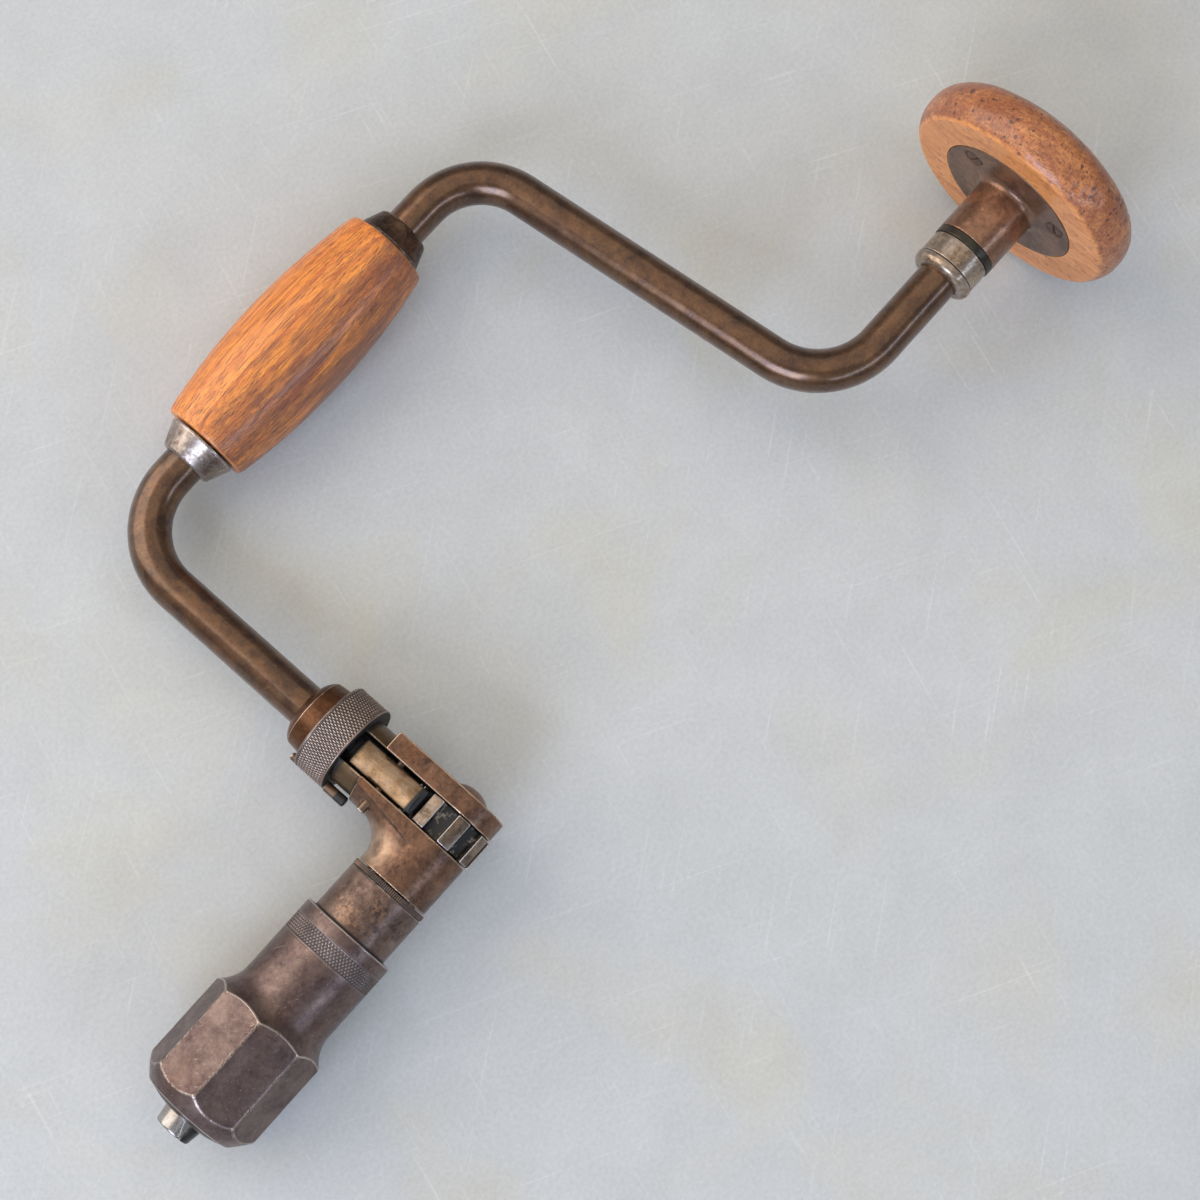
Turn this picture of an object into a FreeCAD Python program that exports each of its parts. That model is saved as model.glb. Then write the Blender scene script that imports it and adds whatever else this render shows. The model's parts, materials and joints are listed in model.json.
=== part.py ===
import FreeCAD, Part
import math
import os

from FreeCAD import Placement, Rotation, Vector

# A carpenter's bit brace with a knurled-ring ratchet and an octagonal chuck shell, in millimetres.
# Every piece is drawn in the tool's own frame: X runs along the main axis from the chuck to the head,
# with x = 0 on the centreline of the lower arm, +Y points from the main axis to the handle, and +Z
# stands square to the plane of the crank. At the end the whole tool is laid down on a flat surface.

# Crank rod
rod_radius = 6.35
sweep_radius = 127.0
handle_run = 150.4
arm_spread = 165.1
lower_bend_radius = 23.5
upper_bend_radius = 21.5
head_bend_radius = 23.5
rod_socket_end = 36.4
rod_pin_radius = 1.5
rod_pin_y = 40.0

# Ratchet frame
boss_radius = 11.85
boss_past_bend = 0.9
slot_low = -4.5
slot_high = 5.6
cheek_top = 11.8
cheek_start = 25.2
cheek_depth = 6.6
cheek_lean = 7.7
neck_bend_radius = 20.6
neck_bend_tube = 11.55
neck_radius = 10.6
neck_end = 43.9
core_start = 25.0
core_half = 3.3
channel_end = 35.3
web_start = 13.3
web_half = 0.9

# Selector ring, its pin and its collar
ring_radius = 14.15
ring_start = 32.9
ring_width = 10.85
ring_chamfer = 0.6
ring_turn = 22.5
stop_pin_radius = 1.15
stop_pin_circle = 12.85
stop_pin_stub = 2.2
stop_pin_foot_radius = 1.55
pocket_radius = 7.3
pocket_centre = 5.6
pocket_depth = 3.4
collar_radius = 11.4
collar_edge = 49.3
collar_edge_radius = 10.8
collar_end = 51.6
collar_nose = 7.6
collar_crown = 0.3

# Pawls
pawl_low = -3.8
pawl_high = 4.4
pawl_back = 10.2
pawl_pin_y = 19.8
pawl_pin_z = 6.0
pawl_pin_radius = 1.3
upper_pin_stub = -12.0
lower_pin_stub = -10.8
pawl_hub = 3.4
pawl_tail_end = 34.2
pawl_tail_thickness = 3.2
pawl_step_y = 30.9
pawl_step = 2.2
pawl_lift = 6.9
pawl_bite = 1.0
nose_front = 0.9
nose_rear = 1.8
heel_width = 3.0
heel_length = 1.4
heel_rise = 1.7
pawl_spring_radius = 2.0
pawl_spring_wire = 0.6
pawl_spring_y = 29.0
pawl_spring_reach = 3.8

# Ratchet gear
gear_radius = 12.5
gear_root = 9.3
gear_teeth = 8
gear_gap = 5.3
gear_side_gap = 0.3
gear_root_round = 1.1

# Spindle
spindle_journal = 6.0
spindle_seat = 5.5
spindle_tip = 4.6
spindle_depth = -41.0
cap_radius = 5.65
cap_rise = 2.1
key_width = 2.0
key_height = 2.2

# Chuck body and its thrust bearing
body_radius = 12.4
body_shoulder = -79.0
body_nose_end = -92.5
body_nose_gap = 0.4
milled_ring_thickness = 1.6
milled_ring_bore = 10.0
ball_radius = 1.19
chuck_ball_count = 12
chuck_ball_circle = 8.4
bit_square = 6.0
bit_square_depth = 11.0

# Chuck shell
shell_top = -38.7
shell_wall = 2.4
octagon_corner = 19.0
octagon_high = -71.6
octagon_low = -97.4
waist_round = 10.2
nose_edge_x = -103.2
nose_edge_radius = 14.4
nose_crown = 0.15
shell_nose = -104.8
mouth_radius = 6.5
mouth_rim = 9.0
mouth_angle = 9.0
shell_turned = 3.6
thread_pitch = 2.0
shell_turns = 4.0

# Jaws
jaw_tip = -110.1
jaw_tip_radius = 5.5
jaw_cone_start = -102.0
jaw_cone_end = -84.0
jaw_shoulder = 3.0
jaw_tail_radius = 5.2
jaw_crown = 0.04
jaw_edge_round = 0.15
jaw_tail_end = -70.0
jaw_width = 11.2
jaw_groove = 2.0
jaw_turned = 47.6
jaw_spring_x = -75.5
jaw_spring_radius = 1.7
jaw_spring_reach = 3.6

# Wooden handle and ferrules
grip_low = 36.9
grip_high = 114.5
grip_low_radius = 13.6
grip_high_radius = 13.3
grip_radius = 17.1
grip_edge = 0.8
lower_ferrule_gap = 0.65
upper_ferrule_gap = 0.3
ferrule_lip = 0.7
lower_ferrule_end = 28.5
lower_ferrule_small = 7.9
lower_ferrule_large = 10.9
upper_ferrule_end = 122.1
upper_ferrule_small = 8.0
upper_ferrule_large = 10.55

# Head
head_collar_low = 211.7
head_collar_high = 222.0
head_collar_radius = 9.35
head_bead_radius = 9.6
head_bead_length = 3.2
head_bead_round = 2.2
head_ball_circle = 7.3
head_ball_count = 10
dust_ring_bore = 8.8
dust_ring_radius = 9.65
journal_radius = 4.75
thread_radius = 4.0
plate_face = 242.8
plate_thickness = 2.2
plate_radius = 22.5
quill_radius = 9.7
quill_flare = 2.0
washer_radius = 8.5
washer_thickness = 1.2
nut_radius = 8.0
nut_thickness = 5.0
nut_hollow_radius = 10.5
nut_hollow_depth = 10.5
screw_circle = 17.7
screw_count = 3
screws_turned = 9.0
screw_head_radius = 2.8
screw_shank_radius = 1.7
screw_length = 13.0
screw_slot_width = 0.8
screw_slot_depth = 0.9
wood_step = 0.2
wood_face_radius = 33.2
wood_radius = 36.1
wood_rim_height = 8.1
wood_rim_round = 9.0
wood_thickness = 23.7

# Clearances shared by the fits
running_gap = 0.05
side_gap = 0.15
free_gap = 0.3
hair_gap = 0.05

x_way = Vector(1, 0, 0)
y_way = Vector(0, 1, 0)
z_way = Vector(0, 0, 1)
well_clear = 60.0


def bar_x(low, high, radius, y=0.0, z=0.0):
    """A round bar along X."""
    return Part.makeCylinder(radius, high - low, Vector(low, y, z), x_way)


def bar_y(low, high, radius, x=0.0, z=0.0):
    """A round bar along Y."""
    return Part.makeCylinder(radius, high - low, Vector(x, low, z), y_way)


def block(x_low, x_high, y_low, y_high, z_low, z_high):
    """A box between two corners."""
    corner = Vector(x_low, y_low, z_low)
    return Part.makeBox(x_high - x_low, y_high - y_low, z_high - z_low, corner)


def polar(radius, degrees, x=0.0):
    """A point round the main axis, with the angle counted from +Z towards +Y."""
    angle = math.radians(degrees)
    return Vector(x, radius * math.sin(angle), radius * math.cos(angle))


def outline(start, *steps, plane):
    """A closed wire through points of one plane. A step is a point, or a pair (point on an arc, its end)."""
    edges = []
    here = start
    for step in steps + (start,):
        if isinstance(step[0], tuple):
            middle, there = step
            edges.append(Part.Arc(plane(*here), plane(*middle), plane(*there)).toShape())
        else:
            there = step
            if math.dist(here, there) > 1e-7:
                edges.append(Part.LineSegment(plane(*here), plane(*there)).toShape())
        here = there
    return Part.Wire(edges)


def turned(start, *steps, y=0.0):
    """A solid turned about a line along X, from an outline of (x, radius) points that starts and ends on it."""
    wire = outline(start, *steps, plane=lambda x, radius: Vector(x, y + radius, 0))
    return Part.Face(wire).revolve(Vector(0, y, 0), x_way, 360)


def crowned(here, there, rise):
    """An outline step on a shallow arc that stands off the straight line by rise, to the left of the way it runs."""
    length = math.dist(here, there)
    along = (there[0] - here[0]) / length
    across = (there[1] - here[1]) / length
    middle = ((here[0] + there[0]) / 2 - rise * across, (here[1] + there[1]) / 2 + rise * along)
    return (middle, there)


def rounded_path(corners, radii):
    """Straight runs through corner points, joined by tangent arcs of the given radii."""
    edges = []
    here = corners[0]
    for before, corner, after, radius in zip(corners, corners[1:], corners[2:], radii):
        inward = (before - corner).normalize()
        outward = (after - corner).normalize()
        half_turn = (math.pi - inward.getAngle(outward)) / 2
        first = corner + inward * radius * math.tan(half_turn)
        last = corner + outward * radius * math.tan(half_turn)
        bisector = (inward + outward).normalize()
        middle = corner + bisector * (radius / math.cos(half_turn) - radius)
        edges.append(Part.LineSegment(here, first).toShape())
        edges.append(Part.Arc(first, middle, last).toShape())
        here = last
    edges.append(Part.LineSegment(here, corners[-1]).toShape())
    return Part.Wire(edges)


def balls(count, circle, x):
    """A ring of loose balls round the main axis."""
    ring = [Part.makeSphere(ball_radius, polar(circle, 360.0 * i / count, x)) for i in range(count)]
    return Part.makeCompound(ring)


# Stations that several pieces share
boss_end = -(neck_bend_radius + boss_past_bend)
body_top = boss_end - free_gap - milled_ring_thickness
handle_line = Vector(0, sweep_radius, 0)
mesh_angle = 180.0 / 4
gear_low = slot_low + gear_side_gap
gear_high = slot_high - gear_side_gap
ring_end = ring_start + ring_width
collar_start = neck_end
head_race = head_collar_high + 2 * (ball_radius + hair_gap)
washer_low = plate_face + plate_thickness + hair_gap
nut_low = washer_low + washer_thickness
wood_face = plate_face + wood_step
wood_rim_x = wood_face + wood_rim_height
wood_crown = wood_face + wood_thickness
mouth_slope = math.tan(math.radians(mouth_angle))
jaw_slide = thread_pitch * shell_turns


def shell_cone_radius(x):
    """The radius of the cone inside the shell's nose."""
    return mouth_radius + (x - shell_nose) * mouth_slope


def crank_rod():
    corners = [
        Vector(0, rod_socket_end, 0),
        Vector(0, sweep_radius, 0),
        Vector(handle_run, sweep_radius, 0),
        Vector(arm_spread, 0, 0),
        Vector(head_collar_high, 0, 0),
    ]
    path = rounded_path(corners, [lower_bend_radius, upper_bend_radius, head_bend_radius])
    section = Part.Wire(Part.makeCircle(rod_radius, corners[0], y_way))
    rod = path.makePipeShell([section], True, False)
    rod = rod.fuse(bar_x(head_collar_high, nut_low, journal_radius))
    rod = rod.fuse(bar_x(nut_low, nut_low + nut_thickness + 1.0, thread_radius))
    return rod.cut(rod_pin()).removeSplitter()


def rod_pin():
    reach = neck_radius - 0.4
    return bar_x(-reach, reach, rod_pin_radius, y=rod_pin_y)


def cheek_plan(x):
    """The cheeks' outline seen along the main axis: a bar with a full round end."""
    w = boss_radius
    return outline(
        (cheek_start, w),
        (0.0, w),
        ((-w, 0.0), (0.0, -w)),
        (cheek_start, -w),
        plane=lambda y, z: Vector(x, y, z),
    )


def elbow():
    """The round bend that carries the lower arm's line down into the boss."""
    centre = Vector(-neck_bend_radius, neck_bend_radius, 0)
    section = Part.Face(Part.Wire(Part.makeCircle(neck_bend_tube, Vector(0, neck_bend_radius, 0), y_way)))
    return section.revolve(centre, z_way, -90)


def cheek_back():
    """What lies behind the leaning back of the cheeks, which runs from their start to the boss."""
    reach = cheek_start + boss_radius + 1
    spread = reach * math.tan(math.radians(cheek_lean))
    back = outline(
        (-cheek_depth, cheek_start),
        (-cheek_depth - spread, cheek_start - reach),
        (-well_clear, cheek_start - reach),
        (-well_clear, well_clear),
        (-cheek_depth, well_clear),
        plane=lambda x, y: Vector(x, y, -well_clear),
    )
    return Part.Face(back).extrude(Vector(0, 0, 2 * well_clear))


def ratchet_frame():
    bar = Part.Face(cheek_plan(boss_end)).extrude(Vector(cheek_top - boss_end, 0, 0))
    frame = bar.cut(cheek_back()).fuse([
        bar_x(boss_end, cheek_top, boss_radius),
        elbow(),
        bar_y(neck_bend_radius, cheek_start, neck_bend_tube),
        bar_y(cheek_start - 1.0, neck_end, neck_radius),
    ])
    cavity = block(slot_low, slot_high, -well_clear, channel_end, -well_clear, well_clear)
    core = block(slot_low - 1, slot_high + 1, core_start, channel_end + 1, -core_half, core_half)
    web = block(slot_low - 1, slot_high + 1, web_start, core_start + 1, -web_half, web_half)
    frame = frame.cut([
        cavity.cut([core, web]),
        bar_x(boss_end - 1, slot_low + 1, spindle_journal + running_gap),
        bar_x(slot_high - 1, cheek_top + 1, spindle_tip + running_gap),
        bar_y(rod_socket_end, neck_end + 1, rod_radius),
        pawl_pins(),
        rod_pin(),
        pawl_spring_hole(),
    ])
    return frame.removeSplitter()


def pawl_spring_hole():
    start = Vector((slot_low + slot_high) / 2, pawl_spring_y, -core_half - 1)
    return Part.makeCylinder(pawl_spring_radius + 0.1, 2 * core_half + 2, start)


def pawl_spring():
    start = Vector((slot_low + slot_high) / 2, pawl_spring_y, -pawl_spring_reach)
    length = 2 * pawl_spring_reach
    bore = Part.makeCylinder(pawl_spring_radius - pawl_spring_wire, length, start)
    return Part.makeCylinder(pawl_spring_radius, length, start).cut(bore)


def pawl_pins():
    end = cheek_top - free_gap
    upper = bar_x(upper_pin_stub, end, pawl_pin_radius, pawl_pin_y, pawl_pin_z)
    lower = bar_x(lower_pin_stub, end, pawl_pin_radius, pawl_pin_y, -pawl_pin_z)
    return Part.makeCompound([upper, lower])


def ring_collar():
    edge = (collar_edge, collar_edge_radius)
    profile = outline(
        (collar_start, rod_radius),
        (collar_start, collar_radius),
        edge,
        crowned(edge, (collar_end, collar_nose), collar_crown),
        (collar_end, rod_radius),
        plane=lambda y, radius: Vector(radius, y, 0),
    )
    return Part.Face(profile).revolve(Vector(0, 0, 0), y_way, 360)


def stop_pin():
    shank = bar_y(ring_start, ring_end + stop_pin_stub, stop_pin_radius, x=-stop_pin_circle)
    return shank.fuse(bar_y(cheek_start + free_gap, ring_start, stop_pin_foot_radius, x=-stop_pin_circle))


def cam_ring():
    bore = neck_radius + running_gap
    edge = ring_chamfer
    profile = outline(
        (ring_start, bore),
        (ring_start, ring_radius - edge),
        (ring_start + edge, ring_radius),
        (ring_end - edge, ring_radius),
        (ring_end, ring_radius - edge),
        (ring_end, bore),
        plane=lambda y, radius: Vector(radius, y, 0),
    )
    ring = Part.Face(profile).revolve(Vector(0, 0, 0), y_way, 360)
    angle = math.radians(ring_turn)
    for side in (1, -1):
        ring = ring.cut(bar_y(
            ring_start - 1,
            ring_start + pocket_depth,
            pocket_radius,
            x=-pocket_centre * math.sin(angle),
            z=side * pocket_centre * math.cos(angle),
        ))
    return ring.cut(stop_pin())


def mesh_point(radius, offset):
    """A point (y, z) of the tooth gap that the upper pawl falls into, offset square to the gap's middle."""
    angle = math.radians(mesh_angle)
    y = radius * math.sin(angle) - offset * math.cos(angle)
    z = radius * math.cos(angle) + offset * math.sin(angle)
    return (y, z)


def pawl_in_mesh():
    """The upper pawl with its nose down in the gear."""
    tip = gear_radius - pawl_bite
    clear = gear_radius + 0.4
    top = pawl_back + 2.0
    back_y, back_z = mesh_point(clear, nose_front)
    tail_inner = pawl_back - pawl_tail_thickness
    profile = outline(
        (back_y, top),
        mesh_point(clear, nose_front),
        mesh_point(tip, nose_front),
        mesh_point(tip, -nose_rear),
        mesh_point(clear, -nose_rear),
        (pawl_pin_y - pawl_hub * 0.8, pawl_pin_z - pawl_hub * 0.6),
        ((pawl_pin_y, pawl_pin_z - pawl_hub), (pawl_pin_y + pawl_hub * 0.8, pawl_pin_z - pawl_hub * 0.6)),
        (core_start + 0.6, tail_inner - 1.0),
        (pawl_tail_end, tail_inner),
        (pawl_tail_end, top),
        plane=lambda y, z: Vector(pawl_low, y, z),
    )
    pawl = Part.Face(profile).extrude(Vector(pawl_high - pawl_low, 0, 0))
    pawl = pawl.common(bar_y(0, pawl_tail_end + 1, pawl_back))
    step = bar_y(pawl_step_y, pawl_tail_end + 1, pawl_back + 1)
    pawl = pawl.cut(step.cut(bar_y(pawl_step_y - 1, pawl_tail_end + 2, pawl_back - pawl_step)))
    half = heel_width / 2
    heel_top = pawl_back + heel_rise
    pawl = pawl.fuse(block(-half, half, pawl_tail_end - heel_length, pawl_tail_end, pawl_back - 2.5, heel_top))
    pawl = pawl.cut(bar_x(pawl_low - 1, pawl_high + 1, pawl_pin_radius + running_gap, pawl_pin_y, pawl_pin_z))
    return pawl.removeSplitter()


def pawl_upper():
    pawl = pawl_in_mesh()
    pawl.rotate(Vector(0, pawl_pin_y, pawl_pin_z), x_way, -pawl_lift)
    return pawl


def pawl_lower():
    return pawl_upper().mirror(Vector(0, 0, 0), z_way)


def ratchet_gear():
    length = gear_high - gear_low
    gear = bar_x(gear_low, gear_high, gear_radius)
    half = gear_gap / 2
    corner = gear_root_round
    groove = outline(
        (gear_radius + 2.0, half),
        (gear_root + corner, half),
        ((gear_root + corner * 0.293, half - corner * 0.293), (gear_root, half - corner)),
        (gear_root, corner - half),
        ((gear_root + corner * 0.293, corner * 0.293 - half), (gear_root + corner, -half)),
        (gear_radius + 2.0, -half),
        plane=lambda r, t: Vector(gear_low, t, r),
    )
    gap = Part.Face(groove).extrude(Vector(length, 0, 0))
    for i in range(gear_teeth):
        one = gap.copy()
        one.rotate(Vector(0, 0, 0), x_way, 360.0 * i / gear_teeth)
        gear = gear.cut(one)
    return gear.cut([bar_x(gear_low - 1, gear_high + 1, spindle_seat), gear_key()]).removeSplitter()


def gear_key():
    half = key_width / 2
    return block(gear_low, gear_high, -half, half, spindle_seat - key_height / 2, spindle_seat + key_height / 2)


def spindle():
    tip = cheek_top + hair_gap
    shaft = turned(
        (spindle_depth, 0.0),
        (spindle_depth, spindle_seat),
        (body_top, spindle_seat),
        (body_top, spindle_journal),
        (slot_low, spindle_journal),
        (slot_low, spindle_seat),
        (slot_high - gear_side_gap, spindle_seat),
        (slot_high - gear_side_gap, spindle_tip),
        (tip, spindle_tip),
        (tip, 0.0),
    )
    return shaft.cut(gear_key())


def spindle_cap():
    low = cheek_top + hair_gap
    round_radius = (cap_rise ** 2 + cap_radius ** 2) / (2 * cap_rise)
    dome = Part.makeSphere(round_radius, Vector(low + cap_rise - round_radius, 0, 0))
    return bar_x(low, low + cap_rise + 1, cap_radius).common(dome)


def chuck_body():
    nose_top = (body_shoulder, shell_cone_radius(body_shoulder) - body_nose_gap)
    nose_low = (body_nose_end, shell_cone_radius(body_nose_end) - body_nose_gap)
    body = turned(
        (body_nose_end, 0.0),
        nose_low,
        crowned(nose_low, nose_top, jaw_crown),
        (body_shoulder, body_radius),
        (body_top, body_radius),
        (body_top, 0.0),
    )
    race_floor = boss_end - hair_gap - 2 * ball_radius - hair_gap
    race = bar_x(race_floor, body_top + 1, milled_ring_bore)
    race = race.cut(bar_x(race_floor - 1, body_top + 2, chuck_ball_circle - ball_radius - 0.2))
    slot_half = jaw_width / 2 + side_gap
    slot_end = jaw_tail_end + jaw_slide + 0.5
    slot = in_jaw_frame(block(body_nose_end - 1, slot_end, -slot_half, slot_half, -well_clear, well_clear))
    return body.cut([slot, race, bar_x(spindle_depth, body_top + 1, spindle_seat), bit_socket(slot_end)])


def bit_socket(low):
    """The square taper hole behind the jaws, for the end of a bit's tang."""
    half = bit_square / 2
    socket = block(low - 1, low + bit_square_depth, -half, half, -half, half)
    return in_jaw_frame(socket)


def in_jaw_frame(shape):
    """Turns a shape about the main axis so that its +Z meets the middle of the first jaw."""
    shape.rotate(Vector(0, 0, 0), x_way, -jaw_turned)
    return shape


def chuck_thrust_balls():
    return balls(chuck_ball_count, chuck_ball_circle, boss_end - hair_gap - ball_radius)


def chuck_dust_ring():
    ring = bar_x(body_top, body_top + milled_ring_thickness, body_radius)
    return ring.cut(bar_x(body_top, body_top + milled_ring_thickness, milled_ring_bore))


def chuck_shell():
    waist = body_radius + shell_wall
    step = octagon_corner - waist
    angle = math.acos(1 - step / waist_round)
    waist_start = octagon_high + waist_round * math.sin(angle)
    hollow_x = waist_start - waist_round * math.sin(angle / 2)
    hollow_radius = waist + waist_round * (1 - math.cos(angle / 2))
    nose_edge = (nose_edge_x, nose_edge_radius)
    blank = turned(
        (shell_nose, 0.0),
        (shell_nose, mouth_rim),
        nose_edge,
        crowned(nose_edge, (octagon_low, octagon_corner), nose_crown),
        (octagon_high, octagon_corner),
        ((hollow_x, hollow_radius), (waist_start, waist)),
        (shell_top, waist),
        (shell_top, 0.0),
    )
    prism = Part.Face(octagon(shell_nose - 1)).extrude(Vector(shell_top - shell_nose + 2, 0, 0))
    shoulder = body_shoulder - free_gap
    hollow = turned(
        (shell_nose - 1, 0.0),
        (shell_nose - 1, shell_cone_radius(shell_nose - 1)),
        (shoulder, shell_cone_radius(shoulder)),
        (shoulder, body_radius + running_gap),
        (shell_top + 1, body_radius + running_gap),
        (shell_top + 1, 0.0),
    )
    return blank.common(prism).cut(hollow).removeSplitter()


def octagon(x):
    corners = [polar(octagon_corner, -shell_turned + 45.0 * i, x) for i in range(8)]
    return Part.makePolygon(corners + corners[:1])


def jaw():
    """One jaw in the jaws' frame: the half of a turned plug that lies on the +Z side."""
    cone_gap = 0.12
    tip_inner = (jaw_tip, jaw_tip_radius - 0.5)
    tip_outer = (jaw_tip + 0.5, jaw_tip_radius)
    cone_low = (jaw_cone_start, shell_cone_radius(jaw_cone_start) - cone_gap)
    cone_high = (jaw_cone_end, shell_cone_radius(jaw_cone_end) - cone_gap)
    back = (jaw_cone_end + jaw_shoulder, jaw_tail_radius)
    back_edge = (back[0] - 1.0, cone_high[1])
    plug = turned(
        (jaw_tip, 0.0),
        tip_inner,
        crowned(tip_inner, tip_outer, jaw_edge_round),
        crowned(tip_outer, cone_low, -jaw_crown),
        crowned(cone_low, cone_high, jaw_crown),
        back_edge,
        crowned(back_edge, back, jaw_edge_round),
        (jaw_tail_end, jaw_tail_radius),
        (jaw_tail_end, 0.0),
    )
    half = jaw_width / 2
    keep = block(jaw_tip - 1, jaw_tail_end + 1, -half, half, hair_gap, well_clear)
    groove = outline(
        (-jaw_groove - hair_gap, -hair_gap),
        (0.0, jaw_groove),
        (jaw_groove + hair_gap, -hair_gap),
        plane=lambda y, z: Vector(jaw_tip - 1, y, z),
    )
    grip = Part.Face(groove).extrude(Vector(jaw_cone_end - jaw_tip + 1, 0, 0))
    pocket = Part.makeCylinder(jaw_spring_radius + 0.15, jaw_spring_reach + 0.2, Vector(jaw_spring_x, 0, 0))
    return plug.common(keep).cut([grip, pocket])


def jaw_a():
    return in_jaw_frame(jaw())


def jaw_b():
    return in_jaw_frame(jaw().mirror(Vector(0, 0, 0), z_way))


def jaw_spring():
    start = Vector(jaw_spring_x, 0, -jaw_spring_reach)
    spring = Part.makeCylinder(jaw_spring_radius, 2 * jaw_spring_reach, start)
    return in_jaw_frame(spring.cut(Part.makeCylinder(jaw_spring_radius - 0.6, 2 * jaw_spring_reach, start)))


def grip_arc():
    """The barrel of the grip, as a circle in the plane of the crank."""
    middle = (grip_low + grip_high) / 2
    low = Vector(grip_low, sweep_radius + grip_low_radius, 0)
    high = Vector(grip_high, sweep_radius + grip_high_radius, 0)
    return Part.Arc(low, Vector(middle, sweep_radius + grip_radius, 0), high).toShape().Curve


def handle_grip():
    middle = (grip_low + grip_high) / 2
    grip = turned(
        (grip_low, 0.0),
        (grip_low, grip_low_radius - grip_edge),
        (grip_low + grip_edge, grip_low_radius),
        ((middle, grip_radius), (grip_high - grip_edge, grip_high_radius)),
        (grip_high, grip_high_radius - grip_edge),
        (grip_high, 0.0),
        y=sweep_radius,
    )
    bore = bar_x(grip_low - 1, grip_high + 1, rod_radius + 0.08, y=sweep_radius)
    return grip.cut(bore)


def ferrule(wide_end, narrow_end, wide_radius, narrow_radius):
    """A tapered ferrule on the handle's line, with a short straight lip at its wide end."""
    lip = wide_end + math.copysign(ferrule_lip, narrow_end - wide_end)
    round_off = narrow_end - math.copysign(0.6, narrow_end - wide_end)
    return turned(
        (wide_end, rod_radius),
        (wide_end, wide_radius - 0.3),
        (lip, wide_radius),
        (round_off, narrow_radius + 0.3),
        (narrow_end, narrow_radius - 0.3),
        (narrow_end, rod_radius),
        y=sweep_radius,
    )


def lower_ferrule():
    return ferrule(grip_low - lower_ferrule_gap, lower_ferrule_end, lower_ferrule_large, lower_ferrule_small)


def upper_ferrule():
    return ferrule(grip_high + upper_ferrule_gap, upper_ferrule_end, upper_ferrule_large, upper_ferrule_small)


def head_collar():
    bead_end = head_collar_low + head_bead_length
    bead_step = head_bead_radius - head_collar_radius
    r = head_bead_round
    bulge = (head_collar_low + r * 0.293, head_bead_radius - r * 0.293)
    return turned(
        (head_collar_low, rod_radius),
        (head_collar_low, head_bead_radius - r),
        (bulge, (head_collar_low + r, head_bead_radius)),
        (bead_end - bead_step, head_bead_radius),
        (bead_end, head_collar_radius),
        (head_collar_high, head_collar_radius),
        (head_collar_high, rod_radius),
    )


def head_thrust_balls():
    return balls(head_ball_count, head_ball_circle, head_collar_high + ball_radius + hair_gap)


def head_dust_ring():
    low = head_collar_high + hair_gap
    high = head_race - hair_gap
    return bar_x(low, high, dust_ring_radius).cut(bar_x(low, high, dust_ring_bore))


def head_quill():
    face = plate_face
    quill = turned(
        (head_race, 0.0),
        (head_race, quill_radius - 0.3),
        (head_race + 0.3, quill_radius),
        (face - quill_flare, quill_radius),
        ((face - quill_flare * 0.293, quill_radius + quill_flare * 0.293), (face, quill_radius + quill_flare)),
        (face, plate_radius - 0.3),
        (face + 0.3, plate_radius),
        (face + plate_thickness, plate_radius),
        (face + plate_thickness, 0.0),
    )
    return quill.cut([bar_x(head_race - 1, washer_low + 1, journal_radius + running_gap), screw_holes()])


def head_washer():
    return bar_x(washer_low, nut_low, washer_radius).cut(bar_x(washer_low, nut_low, journal_radius))


def head_nut():
    corners = [polar(nut_radius, 60.0 * i, nut_low) for i in range(6)]
    nut = Part.Face(Part.makePolygon(corners + corners[:1])).extrude(Vector(nut_thickness, 0, 0))
    return nut.cut(bar_x(nut_low - 1, nut_low + nut_thickness + 1, thread_radius))


def screw_blank():
    """One countersunk screw on the main axis, before its slot is cut."""
    land = plate_face + screw_slot_depth + hair_gap
    return turned(
        (plate_face, 0.0),
        (plate_face, screw_head_radius),
        (land, screw_head_radius),
        (land + screw_head_radius - screw_shank_radius, screw_shank_radius),
        (plate_face + screw_length - 3.0, screw_shank_radius),
        (plate_face + screw_length, 0.0),
    )


def screw_angles():
    step = 360.0 / screw_count
    return [step / 2 + step * i - screws_turned for i in range(screw_count)]


def screw_holes():
    holes = []
    for degrees in screw_angles():
        hole = screw_blank()
        hole.translate(polar(screw_circle, degrees))
        holes.append(hole)
    return Part.makeCompound(holes)


def head_screws():
    half = screw_slot_width / 2
    reach = screw_head_radius + 1
    screws = []
    for degrees in screw_angles():
        slot = block(plate_face - 1, plate_face + screw_slot_depth, -reach, reach, -half, half)
        slot.rotate(Vector(0, 0, 0), x_way, 35.0 + degrees / 2)
        screw = screw_blank().cut(slot)
        screw.translate(polar(screw_circle, degrees))
        screws.append(screw)
    return Part.makeCompound(screws)


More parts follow.
